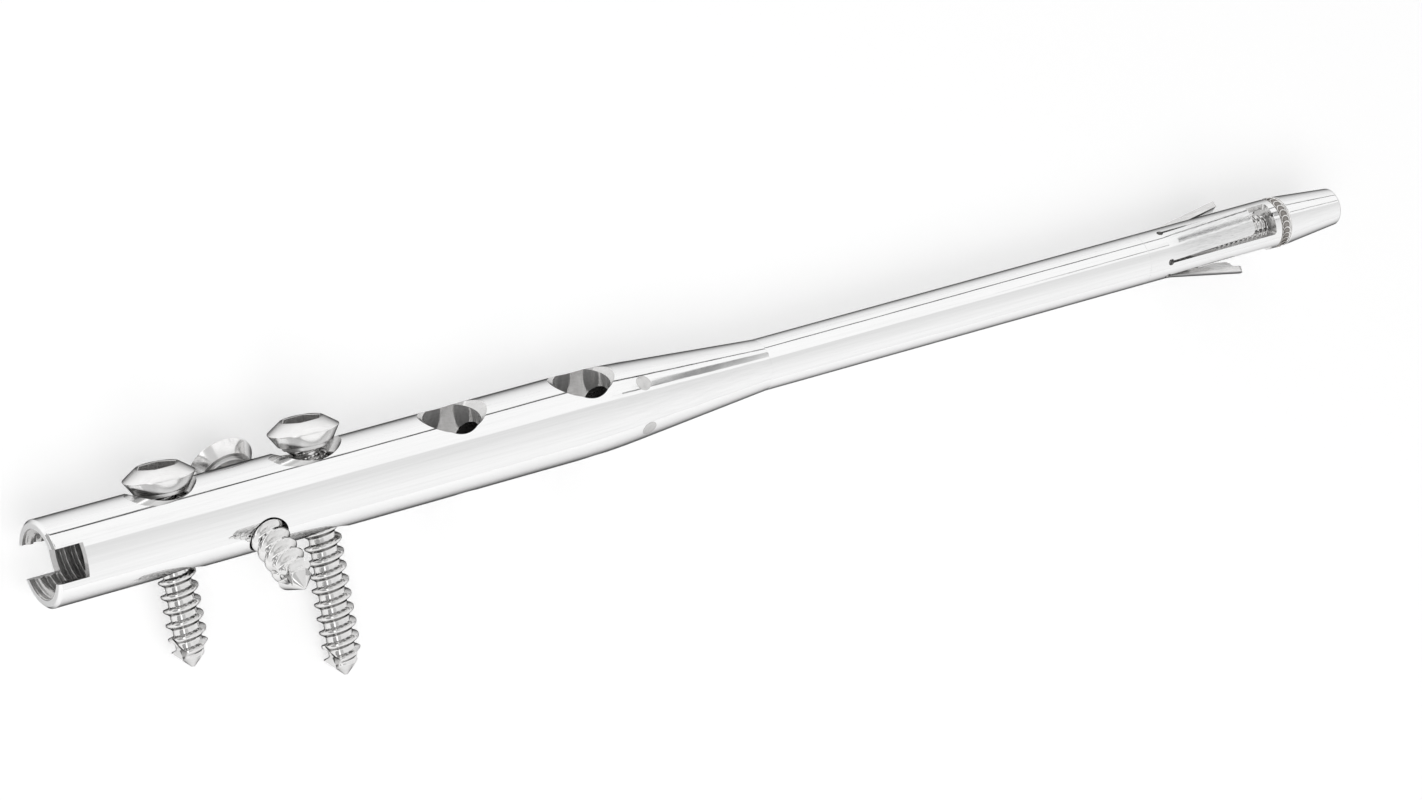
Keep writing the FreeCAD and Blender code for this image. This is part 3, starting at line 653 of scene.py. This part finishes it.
def subdivided(outline, longest):
    # Extra points on sides that run round the tube, so that they follow its curve
    points = []
    for place, point in enumerate(outline):
        following = outline[(place + 1) % len(outline)]
        steps = max(1, math.ceil(abs(following[1] - point[1]) / longest))
        points += [(point[0] + (following[0] - point[0]) * step / steps,
                    point[1] + (following[1] - point[1]) * step / steps) for step in range(steps)]
    return points


def radialCutter(outline, surface, turn, low=1.0, high=4.2):
    # Prism whose sides run through the nail's axis
    rows = [[(x, radius * math.sin(around / surface + turn), radius * math.cos(around / surface + turn))
             for x, around in outline] for radius in (low, high)]
    return gridOfRows(rows, False)


def wallMiddle(sizes):
    return (sizes["bore"] + sizes["outer"]) / 2


def bentTalons(points, normals, sizes, corners):
    # Bends each talon's points out of the tube about its root, and turns their normals with them
    bendAngle, bendRadius, root = math.radians(sizes["spread"]), sizes["bendRadius"], sizes["root"]
    bendLength, middle = bendRadius * bendAngle, wallMiddle(sizes)
    brushedAndShaded = np.zeros(len(points))
    limit = math.radians(sizes["windowHalf"]) - sizes["slot"] / sizes["outer"] / 2
    angles = np.arctan2(points[:, 1], points[:, 2])
    turns = np.zeros(len(points))
    step = fullTurn / sizes["talons"]
    for talon in range(sizes["talons"]):
        away = (angles - talon * step + math.pi) % fullTurn - math.pi
        chosen = (np.abs(away) < limit) & (points[:, 0] > root + 1e-6)
        chosen &= points[:, 0] < root + sizes["talonLength"] + 0.05
        upright = rollMatrix(talon * step)
        local = points[chosen] @ upright.T
        along = local[:, 0] - root
        reach = bendRadius - (local[:, 2] - middle)
        bend = np.minimum(along, bendLength) / bendRadius
        beyond = np.maximum(along - bendLength, 0)
        local[:, 0] = root + reach * np.sin(bend) + beyond * math.cos(bendAngle)
        local[:, 2] = middle + bendRadius - reach * np.cos(bend) + beyond * math.sin(bendAngle)
        points[chosen] = local @ upright
        turns[chosen] = bend
        # Share of the coarser brushing and of the painted shade, growing along each talon
        brushedAndShaded[chosen] = np.minimum(1, along / sizes["fadeLength"])
        owned = chosen[corners]
        turned = normals[owned] @ upright.T
        angle = turns[corners[owned]]
        along, up = turned[:, 0].copy(), turned[:, 2].copy()
        turned[:, 0] = along * np.cos(angle) - up * np.sin(angle)
        turned[:, 2] = along * np.sin(angle) + up * np.cos(angle)
        normals[owned] = turned @ upright
    return brushedAndShaded


def sleeveTube(sizes):
    start, end, outer, bore = (sizes[name] for name in ("start", "end", "outer", "bore"))
    bendLength = sizes["bendRadius"] * math.radians(sizes["spread"])
    steps = sizes["bendRows"] - 1
    bendRows = [sizes["root"] + bendLength * step / steps for step in range(steps + 1)]
    rows = bendRows + list(sizes["plainRows"])
    profile = [(start, outer - 0.03), (start + 0.012, outer - 0.008), (start + 0.03, outer)]
    profile += [(x, outer) for x in rows + [sizes["seamStart"]]]
    profile += [(sizes["seamStart"], sizes["seamFloor"]), (end, sizes["seamFloor"])]
    profile += [(x, bore) for x in [end] + rows[::-1] + [start]]
    return lathe(profile, sizes["segments"])


def makeTalonSleeve(sizes):
    piece = makePiece("talonSleeve", sleeveTube(sizes))
    piece.data.materials.append(sleeveSteel)
    cutters = []
    slotStart, slotEnd, slotHalf = sizes["windowEnd"] - 0.2, sizes["windowEnd"] + 1.2, sizes["tongueSlot"]
    slot = [(slotStart, -slotHalf), (slotEnd, -slotHalf), (slotEnd, slotHalf), (slotStart, slotHalf)]
    for talon in range(sizes["talons"]):
        turn = talon * fullTurn / sizes["talons"]
        for name, shape in (("window", windowOutline(sizes)), ("tongueSlot", subdivided(slot, 0.1))):
            cutter = makePiece(f"{name}{talon}", radialCutter(shape, sizes["outer"], turn))
            cutter.data.materials.append(cutSteel)
            cutters.append(cutter)
    cutAll(piece, cutters)
    mesh = piece.data
    mesh.set_sharp_from_angle(angle=math.radians(25))
    points, corners, normals = meshArrays(mesh)
    for polygon in mesh.polygons:
        if mesh.materials[polygon.material_index] is not sleeveSteel or abs(polygon.normal.x) > 0.5:
            continue
        side = 1 if math.hypot(polygon.center.y, polygon.center.z) > wallMiddle(sizes) * millimetre else -1
        for corner in polygon.loop_indices:
            spoke = points[corners[corner]] * np.array([0, 1, 1])
            normals[corner] = side * spoke / np.linalg.norm(spoke)
    brushedAndShaded = bentTalons(points, normals, sizes, corners)
    # The bend attribute carries the share of brushing and painted shade
    mesh.attributes.new("bend", "FLOAT", "POINT").data.foreach_set("value", brushedAndShaded)
    roll = rollMatrix(talonRoll)
    mesh.vertices.foreach_set("co", ((points @ roll.T) * millimetre).ravel())
    shadeSmooth(mesh)
    mesh.update()
    mesh.normals_split_custom_set((normals @ roll.T).tolist())
    finishPiece(piece, "nail", "talon_sleeve")


makeTalonSleeve(talonSleeve)

# Nose cone with its spigot, bearing web, bore and the tongues that key into the sleeve
noseCone = {
    "spigotStart": 103.5, "spigot": 1.42, "journalBore": 0.68, "step": 104.35, "seamEnd": 104.85,
    "seamFloor": 1.75, "radius": 1.9, "end": 110.0, "tip": 1.42, "lip": 0.1, "bore": 1.15, "webEnd": 105.3,
    "tongueStart": 103.4, "tongueHalf": 0.27, "tongueLow": 1.3, "tongueTop": 1.87, "tongues": 3,
    "segments": 192,
}


def makeTongues(sizes):
    # Tongues on the spigot, lower under the weld seam; marks are (x, narrowing, lowering)
    start, step = sizes["tongueStart"], sizes["step"]
    marks = ((start, 0.05, 0.03), (start + 0.05, 0.0, 0.0), (step - 0.45, 0.0, 0.0),
             (step - 0.35, 0.0, 0.1), (step, 0.0, 0.1))
    rows = []
    for x, inset, drop in marks:
        width, radius = sizes["tongueHalf"] - inset, sizes["tongueTop"] - drop
        rows.append([(x, around, sizes["tongueLow"]) for around in (-width, width)]
                    + [(x, radius * math.sin(turn), radius * math.cos(turn))
                       for turn in np.linspace(width, -width, 9) / radius])
    tongues = makePiece("tongues", gridOfRows(rows, False), talonRoll)
    copiesRoundNail(tongues, sizes["tongues"], polishedSteel)
    return tongues


def makeNoseCone(sizes):
    lip = sizes["lip"]
    bore, floor, web, tipEnd = sizes["bore"], sizes["seamFloor"], sizes["webEnd"], sizes["end"]
    journal, spigot, spigotStart = sizes["journalBore"], sizes["spigot"], sizes["spigotStart"]
    step = sizes["step"] + faceGap
    start, end = (sizes["seamEnd"], sizes["radius"]), (tipEnd - lip, sizes["tip"])
    # Rows just inside the rounded corners keep the cone's own shading straight
    near, far = ((start[0] + (end[0] - start[0]) * share, start[1] + (end[1] - start[1]) * share)
                 for share in (0.02, 0.92))
    outer = roundedOutline([
        (start[0], floor), (*start, 0.02), near, far, (*end, 0.3), (tipEnd, sizes["tip"] - lip, 0.06),
        (tipEnd, bore + lip * 0.6, 0.05), (tipEnd - lip * 0.7, bore, 0.1), (web, bore)], steps=8)
    profile = [(spigotStart, journal), (spigotStart, spigot), (step, spigot), (step, floor), *outer,
               (web, journal)]
    piece = makePiece("noseCone", lathe(profile, sizes["segments"]), talonRoll)
    for finish in (polishedSteel, boredSteel):
        piece.data.materials.append(finish)
    for polygon in piece.data.polygons:
        middle = polygon.center / millimetre
        polygon.material_index = int(math.hypot(middle.y, middle.z) < bore + 0.015)
    mergePieces(piece, makeTongues(sizes))
    finishPiece(piece, "nail", "nose_cone")


makeNoseCone(noseCone)

# Weld seam: laser spots that overlap like scales round the joint of sleeve and nose
weldSeam = {"x": 104.35, "radius": 0.41, "surface": 1.855, "taper": 0.0, "copies": 26, "tilt": 0.045,
            "rimHeight": 0.032, "rimShare": 0.84, "rimWidth": 0.09, "ripple": 0.004, "rippleShare": 0.78,
            "low": 1.66, "ringTop": 1.86, "width": 0.52, "groove": 0.07, "jitter": 0.012, "seed": 5,
            "rings": 22, "segments": 56, "ringSegments": 144}


def makeWeldSeam(sizes):
    heights = [(0.02, -0.2), (0.9, -0.2), (1.0, -0.05)]
    for step in range(sizes["rings"] + 1):
        share = 0.985 * (1 - step / sizes["rings"]) + 0.008
        rim = sizes["rimHeight"] * math.exp(-((share - sizes["rimShare"]) / sizes["rimWidth"]) ** 2)
        ripple = sizes["ripple"] * math.cos(share * 34) * (share < sizes["rippleShare"])
        heights.append((share, rim + ripple - 0.028 * max(0, (share - 0.92) / 0.08) + 0.01 * (1 - share)))
    spot = makePiece("noseWeld", diskOnNail(sizes, heights, sizes["tilt"]), talonRoll)
    across = np.repeat([share for share, _ in heights], sizes["segments"])
    spot.data.attributes.new("fromMiddle", "FLOAT", "POINT").data.foreach_set("value", across)
    copiesRoundNail(spot, sizes["copies"], weldSteel, sizes["jitter"], sizes["seed"])
    half, top = sizes["width"], sizes["ringTop"]
    side = [(half - 0.02, sizes["low"]), (half - 0.02, top - 0.02), (half * 0.8, top),
            (half * 0.64, top - sizes["groove"])]
    profile = [(sizes["x"] - away, radius) for away, radius in side]
    profile += [(sizes["x"] + away, radius) for away, radius in reversed(side)]
    base = makePiece("seamRing", lathe(profile, sizes["ringSegments"]), talonRoll)
    base.data.materials.append(weldSteel)
    brightness = [0.8] * len(base.data.vertices)
    base.data.attributes.new("fromMiddle", "FLOAT", "POINT").data.foreach_set("value", brightness)
    mergePieces(spot, base)
    finishPiece(spot, "nail", "nose_weld_seam")


makeWeldSeam(weldSeam)

# Actuator: hex-driven head, fine-threaded rod and the journal that turns in the nose
actuator = {"headStart": 91.15, "headEnd": 92.45, "headRadius": 1.1, "socketHalf": 0.65, "socketDepth": 0.9,
            "radius": 0.9, "core": 0.66, "pitch": 0.45, "rodEnd": 103.45, "journal": 0.65, "end": 105.95,
            "bevel": 0.08, "segments": 64, "rowsPerPitch": 14}


def hexagonRadius(half, angles):
    return half / np.cos((angles % (fullTurn / 6)) - fullTurn / 12)


def ridge(phase, flank, crest, flankBack):
    # Height from 0 to 1 over one pitch: flank up, crest, flank down, then the root
    rise = np.clip(phase / flank, 0, 1)
    fall = np.clip((flank + crest + flankBack - phase) / flankBack, 0, 1)
    return eased(np.minimum(rise, fall))


def makeActuator(sizes):
    angles = ringAngles(sizes["segments"])
    hexagon = hexagonRadius(sizes["socketHalf"], angles)
    start, end, rodEnd = sizes["headStart"], sizes["headEnd"], sizes["rodEnd"]
    socketEnd, head, journal = start + sizes["socketDepth"], sizes["headRadius"], sizes["journal"]
    bevel, core = sizes["bevel"], sizes["core"]
    rows = [(socketEnd, poleRadius), (socketEnd, hexagon * 0.99), (start + 0.05, hexagon),
            (start, hexagon + 0.05), (start, head - bevel), (start + bevel, head), (end - 0.05, head),
            (end, head - 0.05), (end, core)]
    length = rodEnd - end
    count = int(length / sizes["pitch"] * sizes["rowsPerPitch"])
    for row in range(1, count + 1):
        x = end + length * row / count
        phase = ((x - end) / sizes["pitch"] - angles / fullTurn) % 1
        fade = min(1, (x - end) / 0.3, (rodEnd - x) / 0.15)
        rows.append((x, core + (sizes["radius"] - core) * ridge(phase, 0.34, 0.16, 0.34) * fade))
    rows += [(rodEnd + 0.02, journal), (sizes["end"] - bevel, journal), (sizes["end"], journal - bevel),
             (sizes["end"], poleRadius)]
    shape = gridOfRows([ring(x, radius, angles) for x, radius in rows], False)
    piece = makePiece("actuatorScrew", shape, screwRoll, sharp=50)
    finishPiece(piece, "actuator", "actuator_screw", rodSteel)


makeActuator(actuator)

# Locking screws: tapping tip, bone thread, neck and a double-cone head with a hex socket
lockingScrew = {
    "thread": 1.35, "core": 0.95, "pitch": 1.0, "tipHeight": 1.3, "tipRadius": 0.08, "fluteHeight": 2.8,
    "fluteCore": 0.65, "flutes": 3, "fluteTurn": -1.13, "fluteWidth": 1.25,
    "head": 2.547, "rim": 1.56, "topHeight": 0.72, "seatHeight": 0.95, "seatRadius": 1.95,
    "neck": 1.65, "neckHeight": 0.3, "hexHalf": 1.25, "hexDepth": 1.2, "drillDepth": 0.28, "segments": 96,
    "rowStep": 0.05,
}
screwPlaces = ({"x": 9.75, "turn": 0.0, "seat": 3.77, "length": 13.5},
               {"x": 15.9, "turn": -53.0, "seat": 4.3, "length": 12.6},
               {"x": 21.0, "turn": 0.0, "seat": 4.27, "length": 17.6})
# Radius that limits nothing
openRadius = 9.0


def fluteLimit(sizes, height, angles):
    # Largest radius that the tapping flutes leave at this height above the tip
    if height >= sizes["fluteHeight"]:
        return openRadius
    climb = max(0, 2 * height / sizes["fluteHeight"] - 1)
    flat = sizes["fluteCore"] + (sizes["thread"] + 0.12 - sizes["fluteCore"]) * climb
    away = (angles - sizes["fluteTurn"]) % (fullTurn / sizes["flutes"])
    return np.where(away < sizes["fluteWidth"], flat / np.maximum(np.cos(away), 0.2), openRadius)


def makeLockingScrew(sizes, place, number):
    angles = ringAngles(sizes["segments"])
    seat, top = place["seat"], place["seat"] + sizes["topHeight"]
    tip = seat - place["length"]
    neckTop = seat - sizes["seatHeight"]
    neckFoot = neckTop - sizes["neckHeight"]
    count = int((neckFoot - tip) / sizes["rowStep"])
    rows = [(tip + 0.03, poleRadius)]
    for row in range(1, count + 1):
        height = (neckFoot - tip) * row / count
        phase = ((tip + height - neckFoot) / sizes["pitch"] - angles / fullTurn) % 1
        thread = sizes["core"] + (sizes["thread"] - sizes["core"]) * ridge(phase, 0.42, 0.1, 0.16)
        share = min(1, height / sizes["tipHeight"])
        cone = sizes["thread"] * share + sizes["tipRadius"] * (1 - share)
        rows.append((tip + height, np.minimum(np.minimum(thread, cone), fluteLimit(sizes, height, angles))))
    hexagon = hexagonRadius(sizes["hexHalf"], angles)
    headOutline = roundedOutline([
        (neckFoot, sizes["core"]), (neckFoot, sizes["neck"], 0.04), (neckTop, sizes["neck"], 0.06),
        (neckTop, sizes["seatRadius"], 0.05), (seat, sizes["head"], 0.07), (top, sizes["rim"], 0.05)],
        steps=5)
    rows += [(height + 0.001, radius) for height, radius in headOutline[1:]]
    rows += [(top, hexagon + 0.05), (top - 0.05, hexagon), (top - sizes["hexDepth"], hexagon * 0.995),
             (top - sizes["hexDepth"] - sizes["drillDepth"], poleRadius)]
    shape = gridOfRows([uprightRing(height, radius, angles) for height, radius in rows], False)
    piece = makePiece(f"lockingScrew{number}", shape, screwRoll + math.radians(place["turn"]),
                      (place["x"], 0, 0), sharp=40)
    # The neck and lower cone take the darker finish that is painted shade
    for finish in (screwSteel, coneSteel, headSteel, socketSteel):
        piece.data.materials.append(finish)
    # First rows of the neck, the upper cone and the socket
    starts = (count, count + len(headOutline) - 12, len(rows) - 4)
    for polygon in piece.data.polygons:
        lowest = min(polygon.vertices) // len(angles)
        polygon.material_index = sum(lowest >= start for start in starts)
    finishPiece(piece, "nail", f"locking_screw_{number}")


for number, screwPlace in enumerate(screwPlaces, start=1):
    makeLockingScrew(lockingScrew, screwPlace, number)


# Pieces that keep their CAD shape, which only show through the windows and the nose's bore
def dressNode(node, finish):
    for holder in bpy.data.objects:
        if holder.name == node or holder.name.startswith(node + "."):
            holder.data.materials.clear()
            holder.data.materials.append(finish)
            print("dressed", holder.name)


dressNode("actuator_bush", boredSteel)
dressNode("retaining_collar", rodSteel)
dressNode("expander", rodSteel)


# Stage, lights and camera
studio = {"floorHeight": -5.3, "floorHalf": 3.0, "floorColour": 0.82, "floorGlow": 0.33, "worldLight": 0.55,
          "tentRadius": 0.75, "cardRadius": 0.33, "cardHalf": 0.3, "cardX": 0.016}
photoCamera = {"right": (0.83925, -0.31344, 0.44432), "up": (0.23505, 0.94597, 0.22335),
               "back": (-0.49032, -0.08301, 0.86758), "middle": (0.053, -0.0015, 0), "distance": 0.4,
               "focalPixels": 7080 * 0.79, "widthPixels": 1422, "sensorWidth": 36}
keyLamp = {"place": (-0.2, -0.3, 0.6), "target": (0.05, 0, 0), "size": 0.5, "power": 2.0}
# Brightness of the soft tent round the nail, by degrees from straight up towards +Y
tentTones = ((-95, 0.97), (-60, 0.96), (-30, 0.88), (-6, 0.8), (7.5, 0.79), (9.5, 1.0), (95, 1.0))
# Dark bands on the tent, each of (x, middle, half width, tone) marks in metres and degrees. Reflections
# travel towards the nose, further from the tapers and less far from the bent talons
tentBands = (
    ((-1.0, 62.6, 1.5, 0.06), (2.0, 62.6, 1.5, 0.06)),
    ((0.622, 30.5, 0, 1), (0.634, 30.5, 9, 0.3), (0.655, 30.5, 11, 0.3), (0.682, 30.5, 11, 0.75),
     (0.69, 30.5, 0, 1)),
    ((0.56, 20.5, 0, 1), (0.575, 20.5, 1, 0.15), (0.634, 20.5, 1, 0.15), (0.64, 20.5, 0, 1)),
    ((0.84, 20.5, 0, 1), (0.85, 20.5, 1, 0.15), (1.0, 20.5, 1, 0.15), (1.02, 20.5, 0, 1)),
    ((0.1, 30, 3, 0.25), (0.272, 30, 3, 0.2), (0.286, 28, 11, 0.08), (0.296, 28, 9, 0.08), (0.3, 28, 4, 1)),
)
# Rows of the tent, as (start, end, step) in degrees and in metres, closer where the bands are
tentDegrees = ((-95, 95.1, 2.5), (-7, 72, 0.5))
tentPlaces = ((-0.45, 1.6, 0.05), (0.26, 0.309, 0.004), (0.55, 0.7, 0.004), (0.83, 1.03, 0.01))
# Cards beside the screws, as (start, end, tone) in degrees from straight up towards -X
screwCards = ((16, 45, 0.6), (46, 58, 1.5), (59, 92, 0.4))


def emitter(name, strength=1.0, attribute=None):
    material, tree = newMaterial(name)
    tree.nodes.remove(tree.nodes["Principled BSDF"])
    source = attributeOf(tree, attribute) if attribute else strength
    glow = addNode(tree, "ShaderNodeEmission", {"Strength": source})
    fill(tree, tree.nodes["Material Output"], {"Surface": glow.outputs[0]})
    return material


def addSheet(name, rows, material):
    # Open sheet of the stage, through rows of points
    count = len(rows[0])
    faces = [(low + step, low + step + 1, low + count + step + 1, low + count + step)
             for low in range(0, (len(rows) - 1) * count, count) for step in range(count - 1)]
    mesh = bpy.data.meshes.new(name)
    mesh.from_pydata([point for row in rows for point in row], [], faces)
    mesh.materials.append(material)
    sheet = addObject(name, mesh)
    return sheet


def addReflector(name, rows, material):
    # Sheet seen in reflections only, so that it neither shows nor takes light from the piece
    reflector = addSheet(name, rows, material)
    for ray in ("camera", "diffuse", "shadow", "transmission"):
        setattr(reflector, f"visible_{ray}", False)
    return reflector


def tentTone(x, degree):
    tone = float(np.interp(degree, *zip(*tentTones)))
    for band in tentBands:
        places, middles, widths, darks = zip(*band)
        middle, width, dark = (np.interp(x, places, values) for values in (middles, widths, darks))
        soft = 0.6 + width * 0.15
        shade = min(1, max(0, (width + soft - abs(degree - middle)) / soft)) if width > 0 else 0
        tone = min(tone, tone + (dark - tone) * shade)
    return tone


def makeTent(radius):
    # Curved reflector that draws the long soft and dark lines on the steel
    degrees, places = (sorted({value for marks in rows for value in np.arange(*marks)})
                       for rows in (tentDegrees, tentPlaces))
    rows = [[(x, radius * math.sin(math.radians(degree)), radius * math.cos(math.radians(degree)))
             for degree in degrees] for x in places]
    tent = addReflector("softTent", rows, emitter("tentGlow", attribute="tone"))
    values = [tentTone(x, degree) for x in places for degree in degrees]
    tent.data.attributes.new("tone", "FLOAT", "POINT").data.foreach_set("value", values)


def makeCard(name, start, end, tone, sizes):
    radius, half = sizes["cardRadius"], sizes["cardHalf"]
    rows = [[(sizes["cardX"] - radius * math.sin(turn), y, radius * math.cos(turn)) for y in (-half, half)]
            for turn in np.radians(np.linspace(start, end, 8))]
    addReflector(name, rows, emitter(name, tone))


def makeFloor(sizes):
    height, half, tone = sizes["floorHeight"] * millimetre, sizes["floorHalf"], sizes["floorColour"]
    material, tree = newMaterial("paleFloor")
    fill(tree, tree.nodes["Principled BSDF"], {
        "Base Color": (tone, tone, tone, 1), "Roughness": 0.9, "Specular IOR Level": 0.1,
        "Emission Color": (1, 1, 1, 1), "Emission Strength": sizes["floorGlow"]})
    addSheet("floor", [[(x, y, height) for x in (-half, half)] for y in (-half, half)], material)


def makeWorld(strength):
    # Plain soft light, with white for camera, glossy and transmission rays
    world = bpy.data.worlds.new("softStudio")
    bpy.context.scene.world = world
    world.use_nodes = True
    tree = world.node_tree
    rays = addNode(tree, "ShaderNodeLightPath").outputs
    for ray in ("Is Camera Ray", "Is Glossy Ray", "Is Transmission Ray"):
        strength = mathOf(tree, "MAXIMUM", rays[ray], strength)
    fill(tree, tree.nodes["Background"], {"Color": (1, 1, 1, 1), "Strength": strength})


def makeLamp(name, sizes):
    light = bpy.data.lights.new(name, "AREA")
    light.energy = sizes["power"]
    light.size = sizes["size"]
    lamp = addObject(name, light)
    lamp.location = sizes["place"]
    lamp.rotation_mode = "QUATERNION"
    lamp.rotation_quaternion = (Vector(sizes["target"]) - lamp.location).to_track_quat("-Z", "Y")
    lamp.visible_glossy = False


def makeCamera(sizes):
    camera = bpy.data.cameras.new("photoCamera")
    camera.sensor_width = sizes["sensorWidth"]
    camera.lens = sizes["focalPixels"] / sizes["widthPixels"] * sizes["sensorWidth"]
    camera.clip_start = 0.01
    camera.clip_end = 20
    holder = addObject("photoCamera", camera)
    facing = Matrix([sizes[name] for name in ("right", "up", "back")]).transposed().to_4x4()
    facing.translation = Vector(sizes["middle"]) + Vector(sizes["back"]) * sizes["distance"]
    holder.matrix_world = facing
    bpy.context.scene.camera = holder


makeFloor(studio)
makeTent(studio["tentRadius"])
for number, (start, end, tone) in enumerate(screwCards, start=1):
    makeCard(f"screwCard{number}", start, end, tone, studio)
makeWorld(studio["worldLight"])
makeLamp("keyLamp", keyLamp)
makeCamera(photoCamera)
bpy.context.scene.view_settings.view_transform = "Standard"

print("ready")
